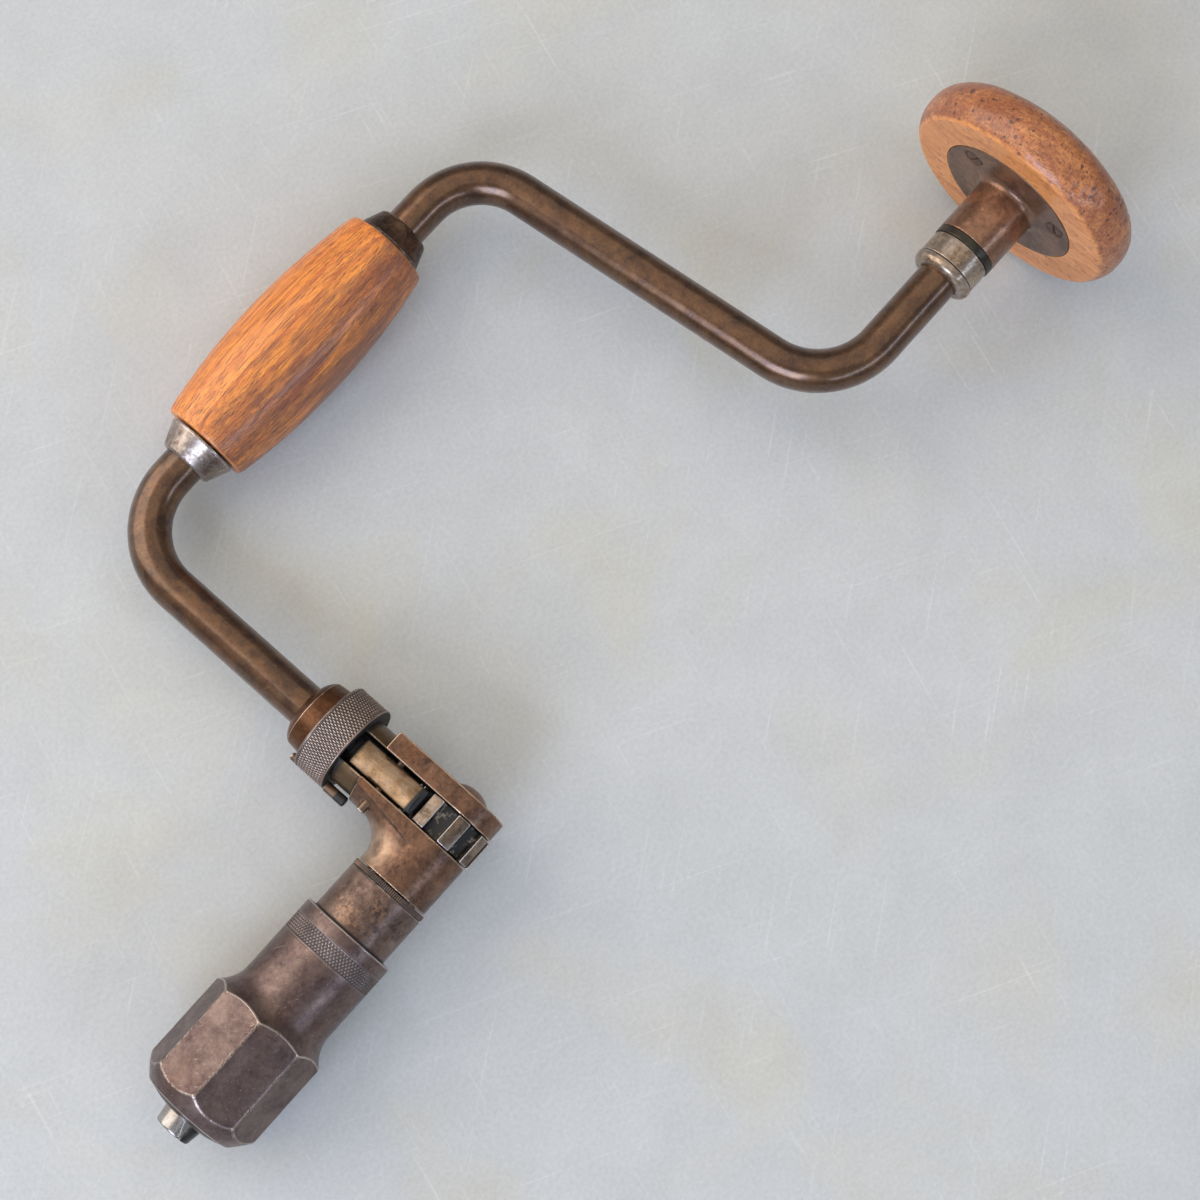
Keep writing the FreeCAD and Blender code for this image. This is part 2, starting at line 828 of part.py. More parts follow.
def head_wood():
    rim_height = wood_radius - wood_rim_round
    rise = wood_crown - wood_rim_x
    crown_round = (rise ** 2 + rim_height ** 2 - wood_rim_round ** 2) / (2 * (rise - wood_rim_round))
    crown_centre = wood_crown - crown_round
    lean = math.atan2(rim_height, wood_rim_x - crown_centre)
    half = (math.pi / 2 + lean) / 2
    knee = (wood_rim_x + wood_rim_round * math.cos(half), rim_height + wood_rim_round * math.sin(half))
    join = (wood_rim_x + wood_rim_round * math.cos(lean), rim_height + wood_rim_round * math.sin(lean))
    crown_middle = (crown_centre + crown_round * math.cos(lean / 2), crown_round * math.sin(lean / 2))
    edge_middle = ((wood_face + wood_rim_x) / 2 - 1.6, wood_radius - 0.95)
    wood = turned(
        (wood_face, 0.0),
        (wood_face, wood_face_radius),
        (edge_middle, (wood_rim_x, wood_radius)),
        (knee, join),
        (crown_middle, (wood_crown, 0.0)),
    )
    seat = bar_x(plate_face - 1, plate_face + plate_thickness, plate_radius + side_gap)
    hollow = bar_x(plate_face, plate_face + nut_hollow_depth, nut_hollow_radius)
    return wood.cut([seat, hollow, screw_holes()])


def lowest_point_of_round(up, x, y, ring, tube):
    """How low, against a direction up, a round edge of that tube radius reaches, turned about a line along X."""
    return up.x * x + up.y * y - ring * math.hypot(up.y, up.z) - tube


def rest_heights(up):
    """How low the head's rim, the shell's front corner and the grip's belly reach, against up."""
    head = lowest_point_of_round(up, wood_rim_x, 0.0, wood_radius - wood_rim_round, wood_rim_round)
    corners = [polar(octagon_corner, -shell_turned + 45.0 * i, octagon_low) for i in range(8)]
    shell = min(up.dot(corner) for corner in corners)
    belly = grip_arc()
    offset = belly.Center.y - sweep_radius
    grip = lowest_point_of_round(up, belly.Center.x, sweep_radius, offset, belly.Radius)
    return head, shell, grip


def resting_up():
    """The direction that points up when the tool lies on its head, its shell and its grip."""
    up = Vector(0, 0, 1)
    for _ in range(40):
        head, shell, grip = rest_heights(up)
        lean_x = up.x / up.z - (head - shell) / (wood_rim_x - octagon_low)
        lean_y = up.y / up.z - (grip - (head + shell) / 2) / sweep_radius
        up = Vector(lean_x, lean_y, 1.0).normalize()
    return up


def laid_down(shape):
    """The placement that lays the tool on the plane z = 0, its box centred on the origin."""
    up = resting_up()
    ahead = (x_way - up * x_way.dot(up)).normalize()
    lay = Placement(Vector(0, 0, 0), Rotation(ahead, up.cross(ahead), up, "XZY").inverted())
    box = shape.copy()
    box.Placement = lay
    bounds = box.optimalBoundingBox(False, False)
    centre = Vector((bounds.XMin + bounds.XMax) / 2, (bounds.YMin + bounds.YMax) / 2, bounds.ZMin)
    return Placement(-centre, lay.Rotation)


pieces = [
    crank_rod,
    rod_pin,
    ratchet_frame,
    ring_collar,
    cam_ring,
    stop_pin,
    pawl_pins,
    pawl_upper,
    pawl_lower,
    pawl_spring,
    ratchet_gear,
    gear_key,
    spindle,
    spindle_cap,
    chuck_body,
    chuck_thrust_balls,
    chuck_dust_ring,
    chuck_shell,
    jaw_a,
    jaw_b,
    jaw_spring,
    handle_grip,
    lower_ferrule,
    upper_ferrule,
    head_collar,
    head_thrust_balls,
    head_dust_ring,
    head_quill,
    head_washer,
    head_nut,
    head_screws,
    head_wood,
]


def main():
    os.makedirs("parts", exist_ok=True)
    solids = {piece.__name__: piece() for piece in pieces}
    lay = laid_down(Part.makeCompound(list(solids.values())))
    for name, shape in solids.items():
        shape.Placement = lay.multiply(shape.Placement)
        shape.exportStep(f"parts/{name}.step")
        print(f"{name}: {len(shape.Solids)} solid(s), {shape.Volume:.1f} mm3, valid {shape.isValid()}")


if __name__ == "__main__":
    main()
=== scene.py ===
"""A carpenter's bit brace on a pale table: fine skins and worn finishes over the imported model.

Sizes are in millimetres in the brace's own frame: X runs along the main axis from the chuck to the
head, Y points from that axis to the handle, and Z stands square to the plane of the crank.
"""

import json
import logging
import math
from dataclasses import dataclass, field
from enum import Enum
from typing import Callable

import bmesh
import bpy
import numpy as np
from bpy.types import Material, Mesh, Node, NodeSocket, NodeTree, Object, bpy_prop_collection
from mathutils import Matrix, Vector


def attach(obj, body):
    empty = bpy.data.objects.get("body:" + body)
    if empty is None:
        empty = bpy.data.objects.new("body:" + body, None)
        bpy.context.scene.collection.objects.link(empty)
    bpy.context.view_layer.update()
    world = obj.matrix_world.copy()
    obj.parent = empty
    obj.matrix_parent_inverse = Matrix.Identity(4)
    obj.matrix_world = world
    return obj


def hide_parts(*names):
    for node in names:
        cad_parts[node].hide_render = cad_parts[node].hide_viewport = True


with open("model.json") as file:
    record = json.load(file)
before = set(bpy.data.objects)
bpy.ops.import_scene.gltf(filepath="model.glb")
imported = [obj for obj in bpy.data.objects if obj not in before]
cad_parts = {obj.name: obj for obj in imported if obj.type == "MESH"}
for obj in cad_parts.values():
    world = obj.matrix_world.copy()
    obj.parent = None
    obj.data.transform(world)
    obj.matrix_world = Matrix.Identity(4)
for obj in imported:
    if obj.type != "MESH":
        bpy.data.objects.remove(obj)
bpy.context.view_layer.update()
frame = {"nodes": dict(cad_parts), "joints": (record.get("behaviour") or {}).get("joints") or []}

log = logging.getLogger("brace")
MM = 0.001
HANDLE_THROW = 127.0  # from the main axis to the handle's, in millimetres
MOST_CUT = 0.45  # the share of a side that one rounded corner may take
LEAST_BEND = 0.08  # the share of a sharp edge's bend that isn't marked
BARE_ROUGHNESS = 0.28
STEEL_RELIEF = 0.02 * MM
WOOD_RELIEF = 0.07 * MM
Pair = tuple[float, float]
Triple = tuple[float, float, float]
Colour = Triple
Field = Callable[[np.ndarray], np.ndarray]
Steels = dict[str, Material]


class Axis(Enum):
    """The line that a turned piece is turned about."""

    MAIN = "along the chuck and the head"
    HANDLE = "along the handle, one throw above the main axis"
    ARM = "along the lower arm, square to the main axis"


@dataclass(frozen=True)
class ToolFrame:
    """Where the brace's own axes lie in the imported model."""

    origin: np.ndarray
    axes: np.ndarray

    @classmethod
    def from_joints(cls, joints: list[dict]) -> "ToolFrame":
        """Reads the axes from the chuck's and the ring's joints.

        Args:
            joints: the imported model's joints.

        Returns:
            The frame whose rows of axes are X, Y and Z.
        """
        named = {joint["name"]: joint for joint in joints}
        x_axis = np.array(named["chuck_spin"]["axis"], float)
        y_axis = np.array(named["ring_turn"]["axis"], float)
        axes = np.array([x_axis, y_axis, np.cross(x_axis, y_axis)])
        return cls(np.array(named["chuck_spin"]["pos_m"], float), axes)

    def place(self, points: np.ndarray) -> np.ndarray:
        """Turns points in millimetres of the brace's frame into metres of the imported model."""
        return self.origin + (points * MM) @ self.axes

    def unplace(self, points: np.ndarray) -> np.ndarray:
        """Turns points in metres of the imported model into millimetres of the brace's frame."""
        return (points - self.origin) @ self.axes.T / MM


class Grit:
    """Smooth seeded noise in space, from 0 to 1."""

    def __init__(self, seed: int) -> None:
        """Draws the noise's lattice from a seed.

        Args:
            seed: what the random draws start from.
        """
        draw = np.random.default_rng(seed)
        self.order = draw.permutation(256)
        self.values = draw.random(256)

    def at(self, points: np.ndarray, sizes: Triple, octaves: int = 1) -> np.ndarray:
        """Value noise: random values at the lattice's corners, blended by 3t^2 - 2t^3 in between.

        Args:
            points: an array that ends in three coordinates.
            sizes: the lattice's spacing along each coordinate.
            octaves: how many layers are added, each half as large and half as strong.

        Returns:
            One value per point.
        """
        total = np.zeros(points.shape[:-1])
        weight = 0.0
        for octave in range(octaves):
            scaled = points * (2.0 ** octave) / np.array(sizes) + 17.3 * octave
            total += self._layer(scaled) * 0.5 ** octave
            weight += 0.5 ** octave
        return total / weight

    def _layer(self, scaled: np.ndarray) -> np.ndarray:
        """One layer of value noise at points given in lattice steps.

        Args:
            scaled: points in lattice steps.

        Returns:
            One value per point.
        """
        low = np.floor(scaled).astype(np.int64)
        part = scaled - low
        part = part * part * (3 - 2 * part)
        result = np.zeros(scaled.shape[:-1])
        for corner in range(8):
            step = np.array([corner & 1, corner >> 1 & 1, corner >> 2 & 1])
            cell = (low + step) & 255
            key = self.order[cell[..., 0]]
            for k in (1, 2):
                key = self.order[(key + cell[..., k]) & 255]
            share = np.where(step, part, 1 - part).prod(axis=-1)
            result += self.values[key] * share
        return result


def smooth_step(value: np.ndarray, low: float, high: float) -> np.ndarray:
    """Goes from 0 at low to 1 at high as 3t^2 - 2t^3."""
    t = np.clip((value - low) / (high - low), 0, 1)
    return t * t * (3 - 2 * t)


def soft_least(a: np.ndarray, b: np.ndarray, reach: float) -> np.ndarray:
    """The lesser of two surfaces, rounded within reach: b + (a - b)h - reach h(1 - h)."""
    h = np.clip(0.5 + 0.5 * (b - a) / reach, 0, 1)
    return b + (a - b) * h - reach * h * (1 - h)


def arc(middle: Pair, size: float, start: float, end: float, count: int) -> np.ndarray:
    """An arc's points: middle + size * (cos a, sin a), with a from start to end."""
    a = np.linspace(start, end, count)[:, None]
    return np.array(middle) + size * np.hstack([np.cos(a), np.sin(a)])


def shallow_arc(start: Pair, end: Pair, rise: float, count: int) -> np.ndarray:
    """A shallow arc: the chord, plus rise times 4t(1 - t) to the left of its run.

    Args:
        start: where it starts, as (along, radius).
        end: where it ends.
        rise: how far its middle stands off the chord.
        count: how many points it has.

    Returns:
        Rows of (along, radius).
    """
    t = np.linspace(0, 1, count)[:, None]
    a, b = np.array(start), np.array(end)
    along = (b - a) / np.hypot(*(b - a))
    left = np.array([-along[1], along[0]])
    return a + (b - a) * t + left * rise * 4 * t * (1 - t)


def section(*corners: tuple | np.ndarray, step: float = 0.8, closed: bool = True) -> np.ndarray:
    """Points along an outline whose corners are rounded by arcs.

    A corner with a radius is cut back along both sides by radius times tan(turn / 2), and the points of a
    quadratic curve between the two cuts stand in for the arc. Straight runs are divided evenly.

    Args:
        corners: (along, radius) or (along, radius, rounding), or an array of points of a curve.
        step: the longest straight run.
        closed: whether the outline returns to its start.

    Returns:
        The points as rows of (along, radius).
    """
    spots = []
    for corner in corners:
        if isinstance(corner, np.ndarray):
            spots += [(*point, 0.0) for point in corner]
        else:
            spots.append((*corner, 0.0)[:3])
    rounded = []
    count = len(spots)
    for i, (along, radius, rounding) in enumerate(spots):
        here = np.array([along, radius])
        if rounding == 0 or (not closed and i in (0, count - 1)):
            rounded.append(here)
            continue
        before = np.array(spots[i - 1][:2]) - here
        after = np.array(spots[(i + 1) % count][:2]) - here
        long_before, long_after = np.hypot(*before), np.hypot(*after)
        before, after = before / long_before, after / long_after
        turn = math.pi - math.acos(float(np.clip(before @ after, -1, 1)))
        cut = min(rounding * math.tan(turn / 2), MOST_CUT * long_before, MOST_CUT * long_after)
        for t in np.linspace(0, 1, 7):
            rounded.append(here + before * cut * (1 - t) ** 2 + after * cut * t ** 2)
    if closed:
        rounded.append(rounded[0])
    runs = []
    for a, b in zip(rounded, rounded[1:]):
        length = np.hypot(*(b - a))
        if length > 1e-6:
            runs.append(a + (b - a) * np.linspace(0, 1, math.ceil(length / step), endpoint=False)[:, None])
    if not closed:
        runs.append(rounded[-1][None])
    return np.concatenate(runs)


@dataclass
class Skin:
    """A grid of points, in millimetres of the brace's frame, that closes round its columns."""

    points: np.ndarray
    rows_closed: bool = True

    def normals(self) -> np.ndarray:
        """The direction out of the skin at each point: along the rows crossed with along the columns.

        Returns:
            One unit vector per point.
        """
        p = self.points
        down = np.roll(p, -1, 0) - np.roll(p, 1, 0) if self.rows_closed else np.gradient(p, axis=0)
        out = np.cross(down, np.roll(p, -1, 1) - np.roll(p, 1, 1))
        return out / np.maximum(np.linalg.norm(out, axis=-1, keepdims=True), 1e-12)

    def raised(self, height: np.ndarray) -> "Skin":
        """The skin with each point moved out by a height in millimetres."""
        return Skin(self.points + self.normals() * height[..., None], self.rows_closed)

    def worn(self, seed: int, size: float, depth: float, low: float = 0.5, high: float = 0.8) -> "Skin":
        """The skin sunk by a depth in patches, where seeded noise of a size goes from low to high."""
        rough = Grit(seed).at(self.points, (size, size, size), 3)
        return self.raised(-depth * smooth_step(rough, low, high))

    def faces(self, first: int) -> np.ndarray:
        """Four corners for each cell of the grid, counted from the first vertex's number.

        Args:
            first: the first vertex's number.

        Returns:
            Rows of four vertex numbers.
        """
        rows, columns = self.points.shape[:2]
        i = np.arange(rows if self.rows_closed else rows - 1)[:, None]
        j = np.arange(columns)[None, :]
        below, beside = (i + 1) % rows * columns, (j + 1) % columns
        cells = [i * columns + j, below + j, below + beside, i * columns + beside]
        return first + np.stack([np.broadcast_to(c, (i.size, j.size)) for c in cells], axis=-1).reshape(-1, 4)


def angles(columns: int) -> np.ndarray:
    """The angle of each column of a turned skin."""
    return np.linspace(0, 2 * math.pi, columns, endpoint=False)


def turned(outline: np.ndarray, columns: int, axis: Axis, closed: bool = True,
           relief: np.ndarray | float = 0.0) -> Skin:
    """A turned skin: point = centre + along * axis + radius * (cos a * Z + sin a * side).

    Args:
        outline: rows of (along, radius); the outer side runs with the axis.
        columns: how many points go round.
        axis: the line that it is turned about.
        closed: whether the outline closes, as for a ring.
        relief: what is added to the radius, by row and column.

    Returns:
        The skin.
    """
    angle = angles(columns)
    along, radius = np.repeat(outline.T[:, :, None], columns, axis=2)
    radius = radius + relief
    side, up = radius * np.sin(angle), radius * np.cos(angle)
    if axis is Axis.ARM:
        points = np.stack([-side, along, up], axis=-1)
    else:
        throw = HANDLE_THROW if axis is Axis.HANDLE else 0.0
        points = np.stack([along, throw + side, up], axis=-1)
    return Skin(points, rows_closed=closed)


@dataclass(frozen=True)
class Groove:
    """One family of knurled grooves: how many go round, their angle to the axis and their depth."""

    count: int
    helix: float
    depth: float


def knurl(along: np.ndarray, angle: np.ndarray, radius: float, families: list[Groove],
          worn: float) -> np.ndarray:
    """How deep knurling cuts: the deepest of its families of V grooves.

    A family's phase is count * (angle * radius + along * tan(helix)) / (2 pi radius). Its depth is
    greatest where the phase is whole and falls evenly to nothing at the worn crest halfway.

    Args:
        along: positions along the axis, as a column.
        angle: positions round the axis, as a row.
        radius: the surface's radius.
        families: the grooves.
        worn: the share of each crest that is worn flat.

    Returns:
        The depth by row and column, nothing or less.
    """
    deepest = np.zeros(np.broadcast(along, angle).shape)
    for family in families:
        slant = math.tan(math.radians(family.helix))
        phase = family.count * (angle * radius + along * slant) / (2 * math.pi * radius)
        valley = np.abs(1 - 2 * np.mod(phase, 1.0))
        deepest = np.maximum(deepest, family.depth * np.clip((valley - worn) / (1 - worn), 0, 1))
    return -deepest


def new_mesh(name: str, points: np.ndarray, quads: np.ndarray) -> Mesh:
    """Puts points and four-sided faces into a mesh.

    Args:
        name: the mesh's name.
        points: rows of three coordinates in metres.
        quads: rows of four vertex numbers.

    Returns:
        The mesh.
    """
    mesh = bpy.data.meshes.new(name)
    mesh.vertices.add(len(points))
    mesh.vertices.foreach_set("co", points.astype(np.float32).ravel())
    mesh.loops.add(quads.size)
    mesh.loops.foreach_set("vertex_index", quads.astype(np.int32).ravel())
    mesh.polygons.add(len(quads))
    mesh.polygons.foreach_set("loop_start", np.arange(0, quads.size, 4, dtype=np.int32))
    mesh.update(calc_edges=True)
    return mesh


def close_and_orient(mesh: Mesh) -> None:
    """Merges doubled points at seams and poles, drops empty faces and turns every face outwards.

    Args:
        mesh: the mesh.
    """
    work = bmesh.new()
    work.from_mesh(mesh)
    bmesh.ops.remove_doubles(work, verts=work.verts, dist=2e-6)
    bmesh.ops.dissolve_degenerate(work, edges=work.edges, dist=1e-7)
    bmesh.ops.recalc_face_normals(work, faces=work.faces)
    work.to_mesh(mesh)
    work.free()
    mesh.polygons.foreach_set("use_smooth", np.ones(len(mesh.polygons), bool))
    mesh.update()


def read_array(collection: bpy_prop_collection, name: str, width: int, kind: type) -> np.ndarray:
    """Reads one property of every element of a mesh into an array.

    Args:
        collection: a mesh's vertices, faces or an attribute's data.
        name: the property that is read.
        width: how many numbers each item has.
        kind: their type.

    Returns:
        One row for each item.
    """
    values = np.zeros(len(collection) * width, kind)
    collection.foreach_get(name, values)
    return values.reshape(-1, width) if width > 1 else values


def store_field(mesh: Mesh, name: str, values: np.ndarray) -> None:
    """Stores a number from 0 to 1 at each vertex."""
    store = mesh.attributes.get(name) or mesh.attributes.new(name, "FLOAT", "POINT")
    store.data.foreach_set("value", np.clip(np.asarray(values, float), 0, 1).astype(np.float32))


def mark_wear(mesh: Mesh, sharpest: float, spread: int) -> None:
    """Stores where the mesh is bulged and where it is hollow, as the attributes edge and hollow.

    The bend at a vertex is the mean over its edges of 2 n.(p - q) / |p - q|^2, in 1/mm: more than
    nothing on a bulge. It is blurred by taking the mean with the neighbours a few times.

    Args:
        mesh: the finished mesh.
        sharpest: the bend that counts as a full edge.
        spread: how many times it is blurred.
    """
    points = read_array(mesh.vertices, "co", 3, np.float32).astype(float) / MM
    normal = read_array(mesh.vertices, "normal", 3, np.float32).astype(float)
    ends = read_array(mesh.edges, "vertices", 2, np.int32)
    run = points[ends[:, 0]] - points[ends[:, 1]]
    square = np.maximum((run ** 2).sum(axis=1), 1e-6)
    count = len(points)
    degree = np.maximum(np.bincount(ends.ravel(), minlength=count), 1)
    bend = sum(np.bincount(ends[:, k], way * (normal[ends[:, k]] * run).sum(1) / square, count)
               for k, way in ((0, 2), (1, -2)))
    bend = np.clip(bend / degree, -4 * sharpest, 4 * sharpest)
    for _ in range(spread):
        near = sum(np.bincount(ends[:, k], bend[ends[:, 1 - k]], count) for k in (0, 1))
        bend = 0.5 * bend + 0.5 * near / degree
    store_field(mesh, "edge", bend / sharpest - LEAST_BEND)
    store_field(mesh, "hollow", -bend / sharpest - LEAST_BEND)


@dataclass(frozen=True)
class Care:
    """How a mesh is marked: the bend of a sharp edge, its blur, where it is soiled and where shade is
    painted, where it is oiled, and where it is rubbed and where a highlight is painted.

    The fields give 0 to 1 for points in the brace's frame, and calm is where bends don't count.
    """

    sharpest: float = 1.5
    spread: int = 3
    soil: Field | None = None
    oil: Field | None = None
    rub: Field | None = None
    calm: Field | None = None

    def mark(self, mesh: Mesh, tool: ToolFrame) -> None:
        """Stores edge, hollow, soil and painted shade, oil, and rub and painted highlight in a finished mesh.

        Args:
            mesh: the mesh.
            tool: where the brace lies.
        """
        mark_wear(mesh, self.sharpest, self.spread)
        points = tool.unplace(read_array(mesh.vertices, "co", 3, np.float32).astype(float))
        for name, where in (("soil", self.soil), ("oil", self.oil), ("rub", self.rub)):
            if where is not None:
                store_field(mesh, name, where(points))
        if self.calm is not None:
            for name in ("edge", "hollow"):
                bends = read_array(mesh.attributes[name].data, "value", 1, np.float32)
                store_field(mesh, name, bends * (1 - self.calm(points)))


@dataclass
class Workshop:
    """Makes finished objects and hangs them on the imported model's bodies."""

    tool: ToolFrame
    made: list[str] = field(default_factory=list)

    def piece(self, name: str, skins: list[Skin], care: Care = Care()) -> Object:
        """Joins skins into one closed, smooth mesh with its wear marked.

        Args:
            name: the piece's name.
            skins: its skins in the brace's frame.
            care: how it is marked.

        Returns:
            The object, at the origin with its place in its mesh.
        """
        points, quads, first = [], [], 0
        for skin in skins:
            points.append(skin.points.reshape(-1, 3))
            quads.append(skin.faces(first))
            first += len(points[-1])
        mesh = new_mesh(name, self.tool.place(np.concatenate(points)), np.concatenate(quads))
        close_and_orient(mesh)
        care.mark(mesh, self.tool)
        return self._link(name, mesh)

    def fine_copy(self, name: str, node: str, voxel: float, smoothing: int = 2,
                  care: Care = Care()) -> Object:
        """Copies a CAD node, lays a fine even mesh over it and softens its arrises.

        The copy is turned into the brace's frame first, so that its flats lie along the fine mesh's rows.

        Args:
            name: the new piece's name.
            node: the CAD node.
            voxel: the size of the fine mesh's cells in millimetres.
            smoothing: how many times the mesh is relaxed.
            care: how it is marked.

        Returns:
            The object, at the origin with its place in its mesh.
        """
        mesh = frame["nodes"][node].data.copy()
        mesh.materials.clear()
        points = self.tool.unplace(read_array(mesh.vertices, "co", 3, np.float32).astype(float))
        mesh.vertices.foreach_set("co", points.astype(np.float32).ravel())
        work = bmesh.new()
        work.from_mesh(mesh)
        bmesh.ops.remove_doubles(work, verts=work.verts, dist=1e-3)
        bmesh.ops.recalc_face_normals(work, faces=work.faces)
        work.to_mesh(mesh)
        work.free()
        rough = bpy.data.objects.new(name + "_rough", mesh)
        bpy.context.scene.collection.objects.link(rough)
        remesh = rough.modifiers.new("even", "REMESH")
        remesh.mode = "VOXEL"
        remesh.voxel_size = voxel
        relax = rough.modifiers.new("relax", "SMOOTH")
        relax.factor = 0.5
        relax.iterations = smoothing
        bpy.context.view_layer.update()
        fine = bpy.data.meshes.new_from_object(rough.evaluated_get(bpy.context.evaluated_depsgraph_get()))
        bpy.data.objects.remove(rough)
        points = read_array(fine.vertices, "co", 3, np.float32).astype(float)
        fine.vertices.foreach_set("co", self.tool.place(points).astype(np.float32).ravel())
        fine.name = name
        close_and_orient(fine)
        care.mark(fine, self.tool)
        return self._link(name, fine)

    def _link(self, name: str, mesh: Mesh) -> Object:
        """Gives a mesh its object in the scene.

        Args:
            name: the piece's name.
            mesh: the mesh.

        Returns:
            The piece.
        """
        made = bpy.data.objects.new(name, mesh)
        bpy.context.scene.collection.objects.link(made)
        self.made.append(name)
        return made

    def hang(self, piece: Object, body: str, node: str,
             finish: Material) -> None:
        """Lets a piece stand for a CAD node, ride on its body and wear its finish.

        Args:
            piece: the new piece.
            body: the body that it rides on.
            node: the CAD node that it stands for.
            finish: its material.
        """
        piece.data.materials.clear()
        piece.data.materials.append(finish)
        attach(piece, body)
        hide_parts(node)
        log.info("%s stands for %s on %s, %d faces", piece.name, node, body, len(piece.data.polygons))


def dress_node(node: str, finish: Material) -> None:
    """Gives a CAD node that stays as it is a better material.

    Args:
        node: the CAD node's name.
        finish: the material.
    """
    thing = frame["nodes"][node]
    for place in thing.material_slots:
        place.material = finish
    if not thing.material_slots:
        thing.data.materials.append(finish)


class Value:
    """A number that changes over a surface: arithmetic on it adds Math nodes to its recipe."""

    def __init__(self, recipe: "Recipe", socket: NodeSocket) -> None:
        """Holds the socket that gives the number."""
        self.recipe = recipe
        self.socket = socket

    def _step(self, how: str, first: object, second: object) -> "Value":
        """One arithmetic step, named as Blender's Math node names it."""
        return Value(self.recipe, self.recipe.add("Math", {0: first, 1: second}, operation=how).outputs[0])

    def __add__(self, other: object) -> "Value":
        """The sum."""
        return self._step("ADD", self, other)

    def __sub__(self, other: object) -> "Value":
        """The difference."""
        return self._step("SUBTRACT", self, other)

    def __mul__(self, other: object) -> "Value":
        """The product."""
        return self._step("MULTIPLY", self, other)

    def __rtruediv__(self, other: object) -> "Value":
        """A plain number divided by this one."""
        return self._step("DIVIDE", other, self)

    def __truediv__(self, other: object) -> "Value":
        """The quotient."""
        return self._step("DIVIDE", self, other)

    def __pow__(self, other: object) -> "Value":
        """The power."""
        return self._step("POWER", self, other)

    def fraction(self) -> "Value":
        """What is left past the whole number."""
        return self._step("FRACT", self, 0.0)

    def most(self, other: object) -> "Value":
        """The greater of the two."""
        return self._step("MAXIMUM", self, other)

    def span(self, low: float, high: float, start: object = 0.0, end: object = 1.0) -> "Value":
        """Maps low..high onto start..end, clamped."""
        inputs = {"Value": self, "From Min": low, "From Max": high, "To Min": start, "To Max": end}
        return Value(self.recipe, self.recipe.add("MapRange", inputs, clamp=True).outputs["Result"])


class Recipe:
    """Adds nodes to one node tree and joins them."""

    def __init__(self, tree: NodeTree) -> None:
        """Starts on a tree."""
        self.tree = tree

    def add(self, kind: str | NodeTree, inputs: dict | None = None,
            **settings: object) -> Node:
        """Adds a node, or places a node group.

        Args:
            kind: the node's type without its ShaderNode prefix, or the group's tree.
            inputs: a value or a socket for each named or numbered input.
            settings: the node's own settings.

        Returns:
            The node.
        """
        group = isinstance(kind, NodeTree)
        node = self.tree.nodes.new("ShaderNodeGroup" if group else "ShaderNode" + kind)
        if group:
            node.node_tree = kind
        for name, setting in settings.items():
            setattr(node, name, setting)
        for name, given in (inputs or {}).items():
            self.feed(given, node.inputs[name])
        return node

    def feed(self, given: object, socket: NodeSocket) -> None:
        """Joins a value or a socket to an input, or sets a plain number or colour there.

        Args:
            given: a value, a socket, or a plain number or colour.
            socket: the input that it feeds.
        """
        given = given.socket if isinstance(given, Value) else given
        if isinstance(given, NodeSocket):
            self.tree.links.new(given, socket)
        else:
            socket.default_value = (*given, 1.0) if socket.type == "RGBA" else given

    def attribute(self, *names: str) -> list[Value]:
        """The numbers stored in a mesh under these names."""
        return [Value(self, self.add("Attribute", attribute_name=name).outputs["Fac"]) for name in names]

    def noise(self, vector: object, size: float, detail: float, rough: float, warp: float = 0.0) -> Value:
        """Noise whose features are about size across, in the vector's own unit, from 0 to 1.

        Args:
            vector: where the noise is read.
            size: its scale.
            detail: its detail.
            rough: its roughness.
            warp: its distortion.

        Returns:
            The result.
        """
        inputs = {"Vector": vector, "Scale": 1 / size, "Detail": detail, "Roughness": rough,
                  "Distortion": warp}
        return Value(self, self.add("TexNoise", inputs, noise_dimensions="3D").outputs["Fac"])

    def blend(self, share: object, first: object, second: object, how: str = "MIX") -> NodeSocket:
        """Mixes two colours by a share."""
        inputs = {0: share, 6: first, 7: second}
        return self.add("Mix", inputs, data_type="RGBA", blend_type=how, clamp_factor=True).outputs[2]

    def shade(self, colour: object, amount: Value) -> NodeSocket:
        """A colour made lighter or darker by an amount."""
        grey = self.add("CombineColor", {0: amount, 1: amount, 2: amount}).outputs[0]
        return self.blend(1.0, colour, grey, "MULTIPLY")

    def vector(self, how: str, vector: object, by: object) -> NodeSocket:
        """One step of vector arithmetic: MULTIPLY or ADD by three numbers, or SCALE by one."""
        inputs = {0: vector, "Scale" if how == "SCALE" else 1: by}
        return self.add("VectorMath", inputs, operation=how).outputs[0]

    def stretch(self, vector: object, scale: Triple) -> NodeSocket:
        """The vector with each coordinate scaled."""
        return self.vector("MULTIPLY", vector, scale)

    def bump(self, height: Value, depth: float) -> NodeSocket:
        """The normal bent by a height that is worth a depth in metres."""
        return self.add("Bump", {"Height": height, "Strength": 1.0, "Distance": depth}).outputs["Normal"]

    def end(self, shader: str, inputs: dict, output: str = "OutputMaterial") -> None:
        """Adds the shader and joins it to the tree's output."""
        self.add(output, {"Surface": self.add(shader, inputs).outputs[0]})


